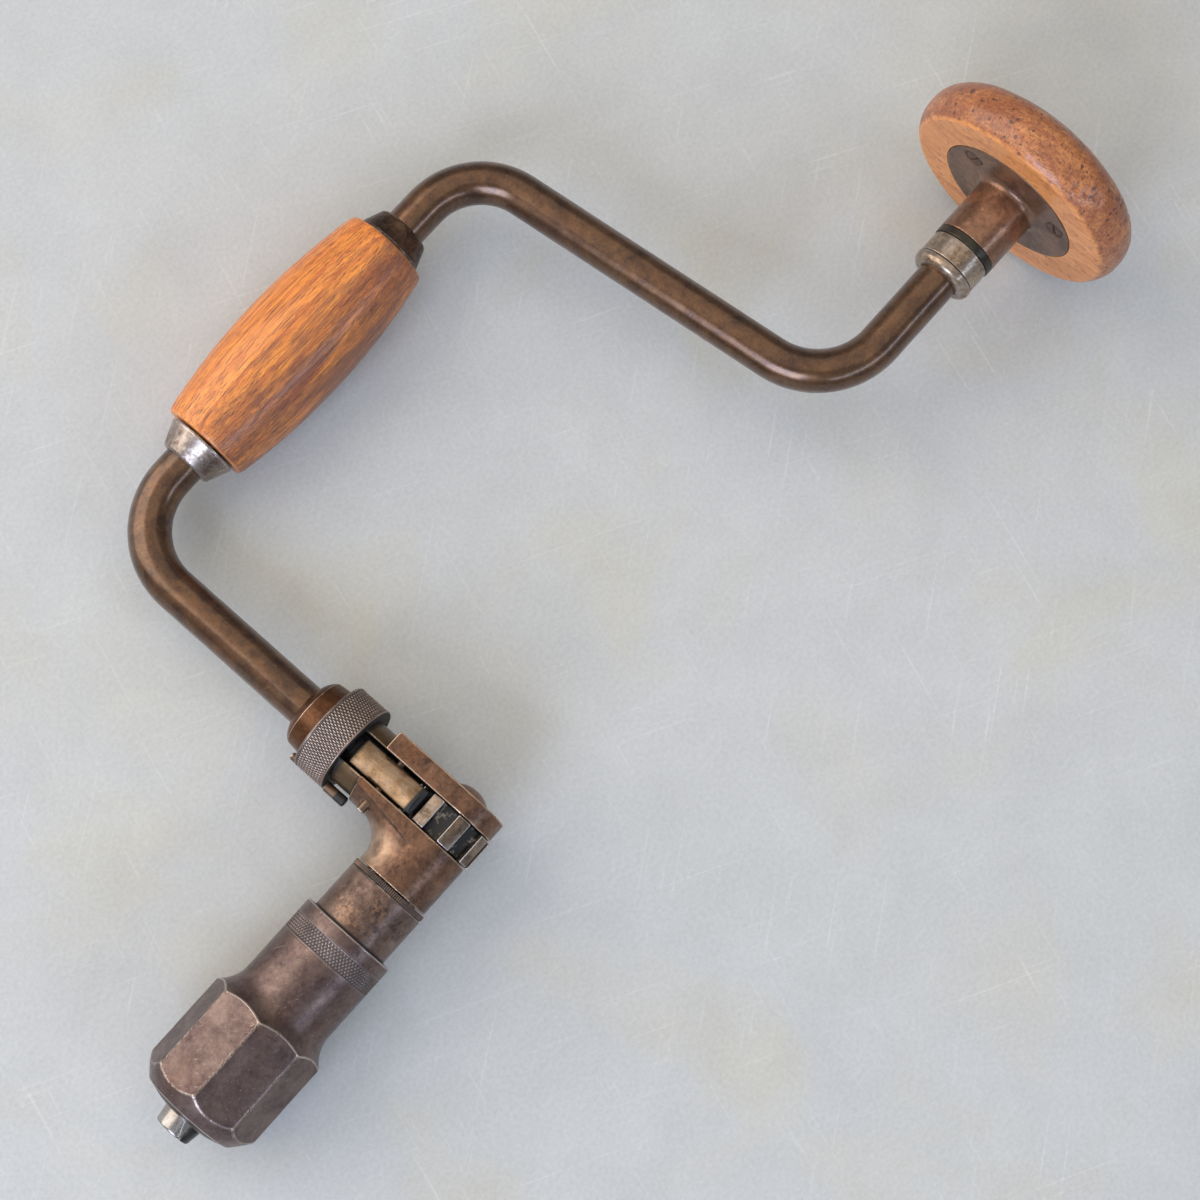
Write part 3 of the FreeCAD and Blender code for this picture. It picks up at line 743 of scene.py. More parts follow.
def start_group(name: str, inputs: dict[str, str], outputs: list[str]) -> tuple[Recipe, dict, Node]:
    """Starts a node group with named sockets.

    Args:
        name: the group's name.
        inputs: each input's socket type, one of Float, Color and Vector.
        outputs: the outputs, each a Float but for Color.

    Returns:
        The recipe for the group's tree, its inputs by name, and its output node.
    """
    tree = bpy.data.node_groups.new(name, "ShaderNodeTree")
    for label, kind in inputs.items():
        tree.interface.new_socket(name=label, in_out="INPUT", socket_type="NodeSocket" + kind)
    for label in outputs:
        kind = "Color" if label == "Color" else "Float"
        tree.interface.new_socket(name=label, in_out="OUTPUT", socket_type="NodeSocket" + kind)
    start = tree.nodes.new("NodeGroupInput")
    recipe = Recipe(tree)
    given = {label: Value(recipe, start.outputs[label]) for label in inputs}
    return recipe, given, tree.nodes.new("NodeGroupOutput")


@dataclass(frozen=True)
class Effects:
    """The shader groups that several finishes share."""

    patina: NodeTree
    wear: NodeTree
    pits: NodeTree
    grain: NodeTree

    @classmethod
    def build(cls) -> "Effects":
        """Builds every shared group once."""
        return cls(cls._patina(), cls._wear(), cls._pits(), cls._grain())

    @staticmethod
    def _patina() -> NodeTree:
        """Old steel's film: blotches, mottling and fine tooth between two tones, with rust in spots.

        Returns:
            The group's tree.
        """
        kinds = {"Vector": "Vector", "Dark": "Color", "Warm": "Color", "Rust": "Color", "Share": "Float",
                 "Mottle": "Float", "Rusting": "Float"}
        recipe, given, end = start_group("patina", kinds, ["Color", "Tone", "Height"])
        where = given["Vector"]
        broad = recipe.noise(where, 8.0, 4.0, 0.6, 0.6)
        mottle = recipe.noise(where, 1.5, 5.0, 0.68, 0.3)
        tooth = recipe.noise(where, 0.30, 3.0, 0.65)
        broad_tone = (broad - 0.5) * 2.0 + given["Share"]
        tone = ((mottle - 0.5) * (given["Mottle"] * 3.0) + broad_tone).span(0.0, 1.0)
        spots = recipe.noise(recipe.vector("ADD", where, (31.0, 17.0, 5.0)), 1.1, 5.0, 0.7)
        rusty = (recipe.noise(where, 13.0, 2.0, 0.5) * 0.8 + spots).span(0.97, 1.12)
        colour = recipe.blend(tone, given["Dark"], given["Warm"])
        colour = recipe.blend(rusty * given["Rusting"], colour, given["Rust"])
        uneven = tooth.span(0.28, 0.75, 0.66, 1.22) - 0.94
        recipe.feed(recipe.shade(colour, uneven * given["Mottle"] + 0.97), end.inputs["Color"])
        recipe.feed(tone, end.inputs["Tone"])
        recipe.feed(tooth * 0.5 + mottle * 0.6, end.inputs["Height"])
        return recipe.tree

    @staticmethod
    def _wear() -> NodeTree:
        """Where hands and the bench have rubbed: edges first, broken up by noise.

        Returns:
            The group's tree.
        """
        kinds = {"Vector": "Vector", "Edge": "Float", "Amount": "Float"}
        recipe, given, end = start_group("edge_wear", kinds, ["Mask"])
        patchy = recipe.noise(given["Vector"], 2.6, 4.0, 0.6)
        broken = recipe.noise(given["Vector"], 0.5, 2.0, 0.6) * 0.35 + patchy * 0.65
        mask = (given["Edge"] * given["Amount"] + broken * 0.7).span(0.62, 1.05)
        recipe.feed(mask * given["Edge"].span(0.02, 0.25), end.inputs["Mask"])
        return recipe.tree

    @staticmethod
    def _pits() -> NodeTree:
        """Small round pits of uneven size, in patches.

        Returns:
            The group's tree.
        """
        kinds = {"Vector": "Vector", "Spacing": "Float", "Amount": "Float"}
        recipe, given, end = start_group("pits", kinds, ["Mask", "Height"])
        small = recipe.vector("SCALE", given["Vector"], 1.0 / given["Spacing"])
        inputs = {"Vector": small, "Scale": 1.0, "Randomness": 1.0}
        cells = recipe.add("TexVoronoi", inputs, feature="F1").outputs
        luck = Value(recipe, recipe.add("SeparateColor", {0: cells["Color"]}).outputs[0])
        reach = luck * luck * recipe.noise(given["Vector"], 7.0, 3.0, 0.6).span(0.35, 0.7)
        mask = (reach * given["Amount"] * 0.55 - cells["Distance"]).span(0.0, 0.08)
        recipe.feed(mask, end.inputs["Mask"])
        recipe.feed(mask * -1.0, end.inputs["Height"])
        return recipe.tree

    @staticmethod
    def _grain() -> NodeTree:
        """Wood whose grain runs along X: growth rings round a far heart, fibres, and long dark pores.

        Returns:
            The group's tree.
        """
        kinds = {"Vector": "Vector", "Ring": "Float", "Wander": "Float"}
        recipe, given, end = start_group("wood_grain", kinds, ["Rings", "Fibre", "Pores", "Fleck"])
        where = given["Vector"]
        drift = recipe.noise(recipe.stretch(where, (0.018, 0.09, 0.09)), 1.0, 3.0, 0.5)
        _, y, z = (Value(recipe, socket) for socket in recipe.add("SeparateXYZ", {0: where}).outputs)
        heart = (y * y + z * z) ** 0.5
        rings = ((drift * given["Wander"] + heart) / given["Ring"]).fraction() ** 2.2
        fibre = recipe.noise(recipe.stretch(where, (0.05, 0.9, 0.9)), 1.0, 6.0, 0.68, 0.3)
        pores = recipe.noise(recipe.stretch(where, (0.16, 3.4, 3.4)), 1.0, 4.0, 0.65).span(0.56, 0.68)
        fleck = recipe.noise(recipe.stretch(where, (0.35, 2.2, 2.2)), 1.0, 3.0, 0.6)
        for value, socket in zip((rings, fibre, pores, fleck), end.inputs):
            recipe.feed(value, socket)
        return recipe.tree


@dataclass(frozen=True)
class Finish:
    """What every finish has: a name, and a material laid out in the brace's frame."""

    name: str

    def start(self, tool: ToolFrame) -> tuple[Material, Recipe, NodeSocket]:
        """Starts the material.

        Args:
            tool: where the brace lies.

        Returns:
            The material, a recipe for its nodes, and the vector in millimetres that its patterns read.
        """
        made = bpy.data.materials.new(self.name)
        made.use_nodes = True
        made.node_tree.nodes.clear()
        recipe = Recipe(made.node_tree)
        where = recipe.add("TexCoord").outputs["Object"]
        turn = Matrix(tool.axes.tolist()).transposed().to_euler("XYZ")
        inputs = {"Vector": where, "Location": tuple(tool.origin), "Rotation": tuple(turn),
                  "Scale": (MM, MM, MM)}
        return made, recipe, recipe.add("Mapping", inputs, vector_type="TEXTURE").outputs[0]


@dataclass(frozen=True)
class SteelFinish(Finish):
    """Old steel: its film of patina, how it is rubbed, and how it shines."""

    dark: Colour = (0.055, 0.038, 0.032)
    warm: Colour = (0.16, 0.10, 0.06)
    bare_and_highlight: Colour = (0.50, 0.43, 0.38)
    rust: Colour = (0.24, 0.10, 0.035)
    oil: Colour = (0.11, 0.070, 0.022)
    grime_and_shade: Colour = (0.010, 0.008, 0.007)
    smear: Colour = (0.30, 0.25, 0.18)
    share: float = 0.45
    mottle: float = 0.55
    rusting: float = 0.3
    wear: float = 0.8
    grime_amount: float = 1.0
    pits: float = 0.6
    polish: float = 0.0
    along: Triple = (0.08, 1.0, 1.0)
    grease: float = 0.0
    metallic: float = 0.85
    rough: Pair = (0.42, 0.34)
    coat: float = 0.15
    coat_rough: float = 0.28
    scratches: float = 0.0

    def material(self, effects: Effects, tool: ToolFrame) -> Material:
        """Builds the finish.

        Args:
            effects: the shared shader groups.
            tool: where the brace lies.

        Returns:
            The material.
        """
        made, recipe, where = self.start(tool)
        edge, hollow, soil, oil, rub = recipe.attribute("edge", "hollow", "soil", "oil", "rub")
        film = recipe.add(effects.patina, {"Vector": where, "Dark": self.dark, "Warm": self.warm,
                                           "Rust": self.rust, "Share": self.share, "Mottle": self.mottle,
                                           "Rusting": self.rusting}).outputs
        tone, film_height = Value(recipe, film["Tone"]), Value(recipe, film["Height"])
        pits = recipe.add(effects.pits, {"Vector": where, "Spacing": 0.9, "Amount": self.pits}).outputs
        pitted, pit_height = Value(recipe, pits["Mask"]), Value(recipe, pits["Height"])
        inputs = {"Vector": where, "Edge": edge, "Amount": self.wear}
        rubbed = recipe.add(effects.wear, inputs).outputs["Mask"]
        lines = recipe.noise(recipe.stretch(where, self.along), 0.45, 4.0, 0.6)
        patch = recipe.noise(where, 6.0, 4.0, 0.6, 0.5)
        bright = ((lines * 0.45 + patch).span(0.62, 0.95) * self.polish).most(rubbed)
        # The rub field paints bare steel on the frame's elbow: rubbed metal, and a painted highlight there.
        bright = bright.most(rub * patch.span(0.3, 0.65, 0.15, 0.75))
        if self.scratches:
            skewed = recipe.add("Mapping", {"Vector": where, "Rotation": (0.4, 0.3, 0.75)}).outputs[0]
            hair = recipe.noise(recipe.stretch(skewed, (0.05, 1.7, 1.7)), 1.0, 2.0, 0.5, 0.3)
            bright = bright.most(hair.span(0.66, 0.72) * patch.span(0.42, 0.6) * self.scratches)
        # Darker in hollows, and where the soil field is high: grease, and painted shade under the ring and in
        # gaps between parts.
        dirt_and_shade = (hollow * self.grime_amount).span(0.0, 0.6)
        dirt_and_shade = dirt_and_shade.most(((patch - 0.5) * (soil * 0.8) + soil).span(0.15, 0.75))
        layers = [(bright, self.bare_and_highlight), (oil * patch.span(0.35, 0.6, 0.3, 0.9), self.oil),
                  (pitted * 0.75, self.grime_and_shade), (dirt_and_shade, self.grime_and_shade)]
        if self.grease:
            smear = recipe.noise(recipe.vector("ADD", where, (7.0, 3.0, 9.0)), 2.4, 5.0, 0.65)
            layers.append((smear.span(0.54, 0.62) * (soil * self.grease), self.smear))
        colour = film["Color"]
        for share, paint in layers:
            colour = recipe.blend(share, colour, paint)
        rough = bright * (BARE_ROUGHNESS - sum(self.rough) / 2) + tone.span(0.0, 1.0, *self.rough)
        height = pit_height * 0.8 + (lines * 0.25 + film_height)
        recipe.end("BsdfPrincipled", {"Base Color": colour, "Roughness": rough.most(dirt_and_shade * 0.55),
                                      "Normal": recipe.bump(height, STEEL_RELIEF),
                                      "Metallic": dirt_and_shade.span(0.0, 1.0, self.metallic, 0.0),
                                      "Coat Weight": dirt_and_shade.span(0.0, 0.6, self.coat, 0.0),
                                      "Coat Roughness": self.coat_rough, "Coat IOR": 1.55})
        return made


@dataclass(frozen=True)
class WoodFinish(Finish):
    """Oiled, handled wood with its grain along one line."""

    heart: Triple = (0.0, 0.0, 0.0)
    turn: Triple = (0.0, 0.0, 0.0)
    pale: Colour = (0.97, 0.335, 0.045)
    deep: Colour = (0.60, 0.150, 0.026)
    pore: Colour = (0.10, 0.030, 0.014)
    grime_and_shade: Colour = (0.15, 0.055, 0.034)
    fresh: Colour = (0.82, 0.34, 0.10)
    ring_share: float = 0.2
    pore_amount: float = 0.85
    clean_pores: float = 0.6
    mottle: float = 2.0
    streak: float = 0.22
    hair: float = 0.42
    pits: float = 0.3
    flecks: float = 0.25
    coat: float = 0.5

    def material(self, effects: Effects, tool: ToolFrame) -> Material:
        """Builds the finish.

        Args:
            effects: the shared shader groups.
            tool: where the brace lies.

        Returns:
            The material.
        """
        made, recipe, where = self.start(tool)
        inputs = {"Vector": where, "Location": self.heart, "Rotation": self.turn}
        along = recipe.add("Mapping", inputs).outputs[0]
        wood = recipe.add(effects.grain, {"Vector": along, "Ring": 4.2, "Wander": 9.0}).outputs
        rings, fibre, pores, fleck = (Value(recipe, socket) for socket in wood)
        edge, hollow, soil = recipe.attribute("edge", "hollow", "soil")
        hairs = recipe.noise(recipe.stretch(along, (0.11, 2.7, 2.7)), 1.0, 4.0, 0.7)
        streaks = recipe.stretch(along, (self.streak, 1.0, 1.0))
        cloud = recipe.noise(streaks, 7.0, 4.0, 0.6, 0.4) * 0.5
        cloud = cloud + recipe.noise(streaks, self.mottle, 5.0, 0.7, 0.3) * 0.5
        specks = recipe.noise(where, 0.75, 4.0, 0.7, 0.3).span(0.56, 0.63)
        rubbed = recipe.add(effects.wear, {"Vector": where, "Edge": edge, "Amount": 1.0}).outputs["Mask"]
        pits = recipe.add(effects.pits, {"Vector": where, "Spacing": 1.9, "Amount": self.pits}).outputs
        pitted, pit_height = Value(recipe, pits["Mask"]), Value(recipe, pits["Height"])
        colour = recipe.blend((fibre + rings * self.ring_share).span(0.38, 0.74), self.pale, self.deep)
        # Where soil is high the wood is darkened: handling dirt, and on the grip also painted shade on its
        # side turned from the light.
        for share, paint in ((hairs.span(0.51, 0.62, 0.0, self.hair), self.pore),
                             ((soil * 0.22 + (cloud - 0.11)).span(0.44, 0.66) * 0.8, self.grime_and_shade),
                             (pores * soil.span(0.0, 1.0, self.clean_pores, self.pore_amount), self.pore),
                             (specks * (soil * self.flecks), self.pore),
                             (Value(recipe, rubbed) * 0.5, self.fresh),
                             (pitted * soil.span(0.0, 1.0, 0.3, 0.9), self.pore),
                             (hollow.span(0.0, 0.5, 0.0, 0.8), self.pore)):
            colour = recipe.blend(share, colour, paint)
        height = pit_height * 1.2 + (pores * -0.9 + fibre * 0.5)
        recipe.end("BsdfPrincipled", {"Base Color": colour, "Roughness": fleck.span(0.3, 0.7, 0.42, 0.60),
                                      "Normal": recipe.bump(height, WOOD_RELIEF),
                                      "Coat Weight": self.coat, "Coat Roughness": 0.22})
        return made


@dataclass
class Crank:
    """The bent rod, with its two ferrules and the beaded collar under the head."""

    rod_radius: float = 6.35
    handle_run: float = 150.4
    arm_spread: float = 165.1
    socket_end: float = 36.4
    bends: Triple = (23.5, 21.5, 23.5)
    collar_low: float = 211.7
    collar_high: float = 222.0
    journal_radius: float = 4.75
    journal_end: float = 246.25
    thread_radius: float = 4.0
    thread_end: float = 252.25
    dent: float = 0.09
    low_cone: tuple[Pair, Pair] = ((36.25, 10.9), (28.5, 7.9))
    high_cone: tuple[Pair, Pair] = ((114.8, 10.55), (122.1, 8.0))
    bead: float = 2.2
    bead_radius: float = 9.6
    barrel_radius: float = 9.35
    step_radius: float = 9.2

    def centreline(self, step: float = 1.3) -> tuple[np.ndarray, np.ndarray]:
        """The rod's line: straight runs, and arcs tangent to them at each bend.

        Args:
            step: the spacing of the points along the line.

        Returns:
            Points and directions in the plane of the crank.
        """
        corners = np.array([(0, self.socket_end), (0, HANDLE_THROW), (self.handle_run, HANDLE_THROW),
                            (self.arm_spread, 0), (self.collar_high, 0)], float)
        points: list[np.ndarray] = []
        ways: list[np.ndarray] = []
        here = corners[0]
        for before, corner, after, radius in zip(corners, corners[1:], corners[2:], self.bends):
            way_in = (corner - before) / np.hypot(*(corner - before))
            way_out = (after - corner) / np.hypot(*(after - corner))
            turn = math.acos(float(way_in @ way_out))
            cut = radius * math.tan(turn / 2)
            start = corner - way_in * cut
            side = way_out - way_in * (way_in @ way_out)
            side /= np.hypot(*side)
            count = max(2, round(np.hypot(*(start - here)) / step))
            t = np.linspace(0, 1, count, endpoint=False)[:, None]
            points.append(here + (start - here) * t)
            ways.append(np.repeat(way_in[None], count, 0))
            count = round(radius * turn / step)
            a = np.linspace(0, turn, count, endpoint=False)[:, None]
            points.append(start + way_in * radius * np.sin(a) + side * radius * (1 - np.cos(a)))
            ways.append(way_in * np.cos(a) + side * np.sin(a))
            here = corner + way_out * cut
        count = round(np.hypot(*(corners[-1] - here)) / step)
        t = np.linspace(0, 1, count)[:, None]
        points.append(here + (corners[-1] - here) * t)
        ways.append(np.repeat([[1.0, 0.0]], count, 0))
        return np.concatenate(points), np.concatenate(ways)

    def rod(self, shop: Workshop, columns: int = 88) -> Object:
        """The rod: a circle carried along the centreline, then turned down to its journal and thread.

        A point is centre + radius * (cos a * Z + sin a * side), and side is Z crossed with the line's
        direction.

        Args:
            shop: the workshop that makes and hangs the pieces.
            columns: how many points go round.

        Returns:
            The piece.
        """
        line, ways = self.centreline()
        tail = section((self.collar_high, self.journal_radius), (self.journal_end, self.journal_radius),
                       (self.journal_end, self.thread_radius), (self.thread_end, self.thread_radius, 0.3),
                       (self.thread_end, 0.0), step=2.0, closed=False)
        radius = np.concatenate([[0.0], np.full(len(line), self.rod_radius), tail[:, 1]])
        line = np.concatenate([line[:1], line, np.stack([tail[:, 0], np.zeros(len(tail))], 1)])
        ways = np.concatenate([ways[:1], ways, np.repeat([[1.0, 0.0]], len(tail), 0)])
        angle = angles(columns)[None, :, None]
        centre = np.pad(line, ((0, 0), (0, 1)))[:, None, :]
        side = np.stack([-ways[:, 1], ways[:, 0], np.zeros(len(ways))], -1)[:, None, :]
        ring = np.cos(angle) * np.array([0.0, 0.0, 1.0]) + np.sin(angle) * side
        skin = Skin(centre + radius[:, None, None] * ring, rows_closed=False)
        dents = Grit(3).at(skin.points, (3.0, 3.0, 3.0), 3) - 0.5
        shown = (radius > self.journal_radius)[:, None]
        return shop.piece("bent_rod", [skin.raised(dents * self.dent * shown)])

    def ferrule(self, shop: Workshop, name: str,
                cone: tuple[Pair, Pair]) -> Object:
        """A tapered ferrule on the handle's line, from its wide end to its narrow end.

        Args:
            shop: the workshop that makes and hangs the pieces.
            name: the piece's name.
            cone: its wide end and its narrow end, each as (along, radius).

        Returns:
            The piece.
        """
        wide, narrow = cone
        way = math.copysign(1.0, narrow[0] - wide[0])
        corners = [(wide[0], self.rod_radius), (*wide, 0.25), (wide[0] + way * 0.7, wide[1], 0.3),
                   (narrow[0] - way * 0.5, narrow[1] + 0.25, 0.8), (narrow[0], narrow[1] - 0.3, 0.3),
                   (narrow[0], self.rod_radius)]
        outline = section(*corners[::int(way)], step=0.35)
        skin = turned(outline, 160, Axis.HANDLE).worn(11, 1.1, 0.07, 0.52, 0.75)
        return shop.piece(name, [skin], Care(sharpest=1.2, spread=1))

    def collar(self, shop: Workshop) -> Object:
        """The collar under the head: a full bead, a step and a plain barrel.

        Args:
            shop: the workshop that makes and hangs the pieces.

        Returns:
            The piece.
        """
        low, high, size = self.collar_low, self.collar_high, self.bead
        bead = arc((low + size, self.bead_radius - size), size, math.pi, math.pi / 2, 12)
        outline = section((low, self.rod_radius), bead, (low + 2.95, self.bead_radius, 0.3),
                          (low + 3.35, self.step_radius, 0.2), (low + 3.7, self.barrel_radius, 0.3),
                          (high, self.barrel_radius, 0.35), (high, self.rod_radius), step=0.35)
        return shop.piece("beaded_collar", [turned(outline, 168, Axis.MAIN).worn(12, 1.4, 0.05)])

    def build(self, shop: Workshop, steel: Steels) -> None:
        """Builds the rod and what is fixed on it.

        Args:
            shop: the workshop that makes and hangs the pieces.
            steel: the steel finishes by name.
        """
        shop.hang(self.rod(shop), "root", "crank_rod", steel["rod"])
        shop.hang(self.ferrule(shop, "low_ferrule", self.low_cone), "root", "lower_ferrule",
                  steel["ferrule"])
        shop.hang(self.ferrule(shop, "high_ferrule", self.high_cone), "root", "upper_ferrule",
                  steel["dark_ferrule"])
        shop.hang(self.collar(shop), "root", "head_collar", steel["collar"])


@dataclass
class Handle:
    """The turned grip, free on the rod."""

    low: float = 36.9
    high: float = 114.5
    low_radius: float = 13.6
    high_radius: float = 13.3
    radius: float = 17.1
    bore: float = 6.43
    edge: float = 1.1
    pore: float = 0.07

    def build(self, shop: Workshop, finish: Material) -> None:
        """A barrel turned from open-grained wood: radius = a parabola through both ends and the belly.

        Args:
            shop: the workshop that makes and hangs the pieces.
            finish: the material.
        """
        t = np.linspace(0, 1, 120)[1:-1]
        belly = self.low_radius + (self.high_radius - self.low_radius) * t
        belly += 4 * t * (1 - t) * (self.radius - (self.low_radius + self.high_radius) / 2)
        barrel = np.stack([self.low + (self.high - self.low) * t, belly], 1)
        outline = section((self.low, self.bore), (self.low, self.low_radius - 0.2, self.edge),
                          barrel[2:-2], (self.high, self.high_radius - 0.2, self.edge),
                          (self.high, self.bore), step=1.2)
        skin = turned(outline, 420, Axis.HANDLE)
        noise = Grit(21)
        lines = noise.at(skin.points, (13.0, 0.42, 0.42), 2)
        fibre = noise.at(skin.points, (22.0, 1.3, 1.3), 2) - 0.5
        waves = noise.at(skin.points, (16.0, 9.0, 9.0), 2) - 0.5
        x = skin.points[..., 0]
        outside = smooth_step(np.minimum(x - self.low, self.high - x), 0.0, 0.5)
        outside *= (outline[:, 1] > self.bore + self.edge)[:, None]
        height = 0.05 * fibre + 0.10 * waves - self.pore * (1 + smooth_step(lines, 0.60, 0.74))

        def dirt_and_shade(points: np.ndarray) -> np.ndarray:
            """Darker on the side that faces the main axis: dirt where the palm closes, and painted shade on
            the side turned from the light.
            """
            turn = (HANDLE_THROW - points[:, 1]) / self.radius
            return smooth_step(turn + 0.35 * noise.at(points, (9.0, 5.0, 5.0), 2), -0.15, 0.85)

        grip = shop.piece("turned_grip", [skin.raised(height * outside)], Care(1.1, 1, soil=dirt_and_shade))
        shop.hang(grip, "handle", "handle_grip", finish)


@dataclass
class Head:
    """The wooden head with its quill, plate, screws and dust ring."""

    quill_low: float = 224.48
    quill_radius: float = 9.7
    flare: float = 2.0
    plate_face: float = 242.8
    plate_thickness: float = 2.2
    plate_radius: float = 22.5
    journal: float = 4.8
    screw_circle: float = 17.7
    screw_radius: float = 2.8
    screws_turned: float = 9.0
    wood_face: float = 243.0
    wood_face_radius: float = 33.2
    wood_radius: float = 36.1
    rim_x: float = 251.1
    rim_round: float = 9.0
    crown: float = 266.7
    brim_rise: float = 0.95
    seat: float = 0.5
    slot: float = 0.75
    slot_tilts: tuple[float, ...] = (0.5, 1.6, 2.9)
    screw_head: float = 2.75
    screw_shank: float = 1.6
    screw_length: float = 13.0
    dust_ring_at: Pair = (222.05, 224.43)
    dust_ring_radii: Pair = (8.8, 9.65)

    def screw_centres(self) -> np.ndarray:
        """The three screws' places round the plate, as rows of (Y, Z)."""
        angle = np.radians(60.0 + 120.0 * np.arange(3) - self.screws_turned)
        return self.screw_circle * np.stack([np.sin(angle), np.cos(angle)], 1)

    def quill(self, shop: Workshop) -> Object:
        """The sleeve that flares into the plate, with a shallow seat round each screw.

        Args:
            shop: the workshop that makes and hangs the pieces.

        Returns:
            The piece.
        """
        face, back, f = self.plate_face, self.plate_face + self.plate_thickness, self.flare
        fillet = arc((face - f, self.quill_radius + f), f, -math.pi / 2, 0, 10)
        outline = section((self.quill_low, self.journal), (self.quill_low, self.quill_radius, 0.35), fillet,
                          (face, self.plate_radius, 0.45), (back, self.plate_radius, 0.2),
                          (back, self.journal), step=0.36)
        skin = turned(outline, 336, Axis.MAIN)
        away = np.linalg.norm(skin.points[..., None, 1:] - self.screw_centres(), axis=-1).min(axis=-1)
        front = np.abs(skin.points[..., 0] - face) < 0.2
        sunk = self.seat * (1 - smooth_step(away, self.screw_radius, self.screw_radius + 0.45)) * front
        sunk += 0.06 * smooth_step(Grit(13).at(skin.points, (1.2, 1.2, 1.2), 3), 0.5, 0.8)

        def dull(points: np.ndarray) -> np.ndarray:
            """The plate is darker than the sleeve, with dirt that thins out up the flare."""
            return 0.36 * smooth_step(points[:, 0], face - 2.5, face - 0.3)

        return shop.piece("quill_and_plate", [skin.raised(-sunk)], Care(soil=dull))

    def screws(self, shop: Workshop) -> Object:
        """Three slotted heads, slightly crowned; the slot's depth goes by the distance from its line.

        Args:
            shop: the workshop that makes and hangs the pieces.

        Returns:
            The piece.
        """
        face, head = self.plate_face, self.screw_head
        outline = section(shallow_arc((face + 0.08, 0.0), (face + 0.22, head), 0.1, 14),
                          (face + 0.7, head, 0.2), (face + 2.1, self.screw_shank + 0.1),
                          (face + self.screw_length - 2, self.screw_shank), (face + self.screw_length, 0.0),
                          step=0.22, closed=False)[::-1]
        skins = []
        for centre, tilt in zip(self.screw_centres(), self.slot_tilts):
            skin = turned(outline, 96, Axis.MAIN, closed=False)
            x, y, z = np.moveaxis(skin.points, -1, 0)
            across = y * math.cos(tilt) + z * math.sin(tilt)
            depth = self.slot * (1 - smooth_step(np.abs(across), 0.3, 0.5)) * (x < face + 0.4)
            skins.append(Skin(np.stack([x + depth, y + centre[0], z + centre[1]], -1), rows_closed=False))
        return shop.piece("plate_screws", skins)

    def wood(self, shop: Workshop) -> Object:
        """The head: a flat face, a fat rounded rim and a low crown, dented and pitted by use.

        Args:
            shop: the workshop that makes and hangs the pieces.

        Returns:
            The piece.
        """
        rim_height = self.wood_radius - self.rim_round
        rise = self.crown - self.rim_x
        crown_round = (rise ** 2 + rim_height ** 2 - self.rim_round ** 2) / (2 * (rise - self.rim_round))
        centre = self.crown - crown_round
        lean = math.atan2(rim_height, self.rim_x - centre)
        rim = arc((self.rim_x, rim_height), self.rim_round, math.pi / 2, lean, 24)
        top = arc((centre, 0), crown_round, lean, 0, 60)[1:]
        brim = shallow_arc((self.wood_face, self.wood_face_radius), (self.rim_x, self.wood_radius),
                           self.brim_rise, 16)
        back, hole, hollow_radius = self.plate_face + self.plate_thickness, self.plate_radius + 0.15, 10.5
        outline = section((back, 5.2), (back, hole), (self.wood_face, hole, 0.2),
                          (self.wood_face, self.wood_face_radius - 0.3, 1.2),
                          brim[2:-1], rim, top, step=0.7, closed=False)
        hollow = section((self.crown - 10.0, 0.0), (self.crown - 13.0, hollow_radius), (back, hollow_radius),
                         step=2.0, closed=False)
        skin = turned(np.concatenate([hollow[:-1], outline]), 330, Axis.MAIN, closed=False)
        noise = Grit(33)
        q = skin.points
        x, away = q[..., 0], np.hypot(q[..., 1], q[..., 2])
        outer = (x > self.wood_face + 0.6) & (away > 0.1) & ((away > hole + 1) | (x > self.rim_x))
        face = (x <= self.wood_face + 0.6) & (x >= self.wood_face - 0.2)
        spots = noise.at(q, (1.5, 1.5, 1.5), 2)
        patches = smooth_step(noise.at(q + 40, (11.0, 11.0, 11.0), 2), 0.42, 0.62)
        pores = noise.at(q @ np.array([[1, 0, 0], [0, 0.8, 0.6], [0, -0.6, 0.8]]), (1.1, 7.0, 0.8), 2)
        dents = noise.at(q + 90, (7.0, 7.0, 7.0), 2) - 0.5
        height = 0.22 * dents - 0.40 * smooth_step(spots, 0.62, 0.76) * patches
        height -= 0.10 * smooth_step(pores, 0.62, 0.8)
        height = np.where(outer, height, np.where(face, -0.05 * smooth_step(pores, 0.6, 0.8), 0.0))
        height[-1] = height[-1].mean()

        def handled(points: np.ndarray) -> np.ndarray:
            """The rim and crown are dark with handling, and the flat face stays clean."""
            return smooth_step(points[:, 0], self.wood_face + 0.1, self.wood_face + 1.1)

        return shop.piece("turned_head", [skin.raised(height)], Care(1.0, 1, soil=handled))

    def dust_ring(self, shop: Workshop) -> Object:
        """The thin dark ring round the head's balls.

        Args:
            shop: the workshop that makes and hangs the pieces.

        Returns:
            The piece.
        """
        (low, high), (bore, radius) = self.dust_ring_at, self.dust_ring_radii
        outline = section((low, bore), (low, radius, 0.3), (high, radius, 0.3), (high, bore), step=0.3)
        return shop.piece("head_ring", [turned(outline, 160, Axis.MAIN)])

    def build(self, shop: Workshop, steel: Steels, finish: Material) -> None:
        """Builds the head's pieces.

        Args:
            shop: the workshop that makes and hangs the pieces.
            steel: the steel finishes by name.
            finish: the material.
        """
        shop.hang(self.quill(shop), "head", "head_quill", steel["quill"])
        shop.hang(self.screws(shop), "head", "head_screws", steel["screw"])
        shop.hang(self.wood(shop), "head", "head_wood", finish)
        shop.hang(self.dust_ring(shop), "root", "head_dust_ring", steel["bearing"])
        for node in ("head_thrust_balls", "head_washer", "head_nut"):
            dress_node(node, steel["plain"])


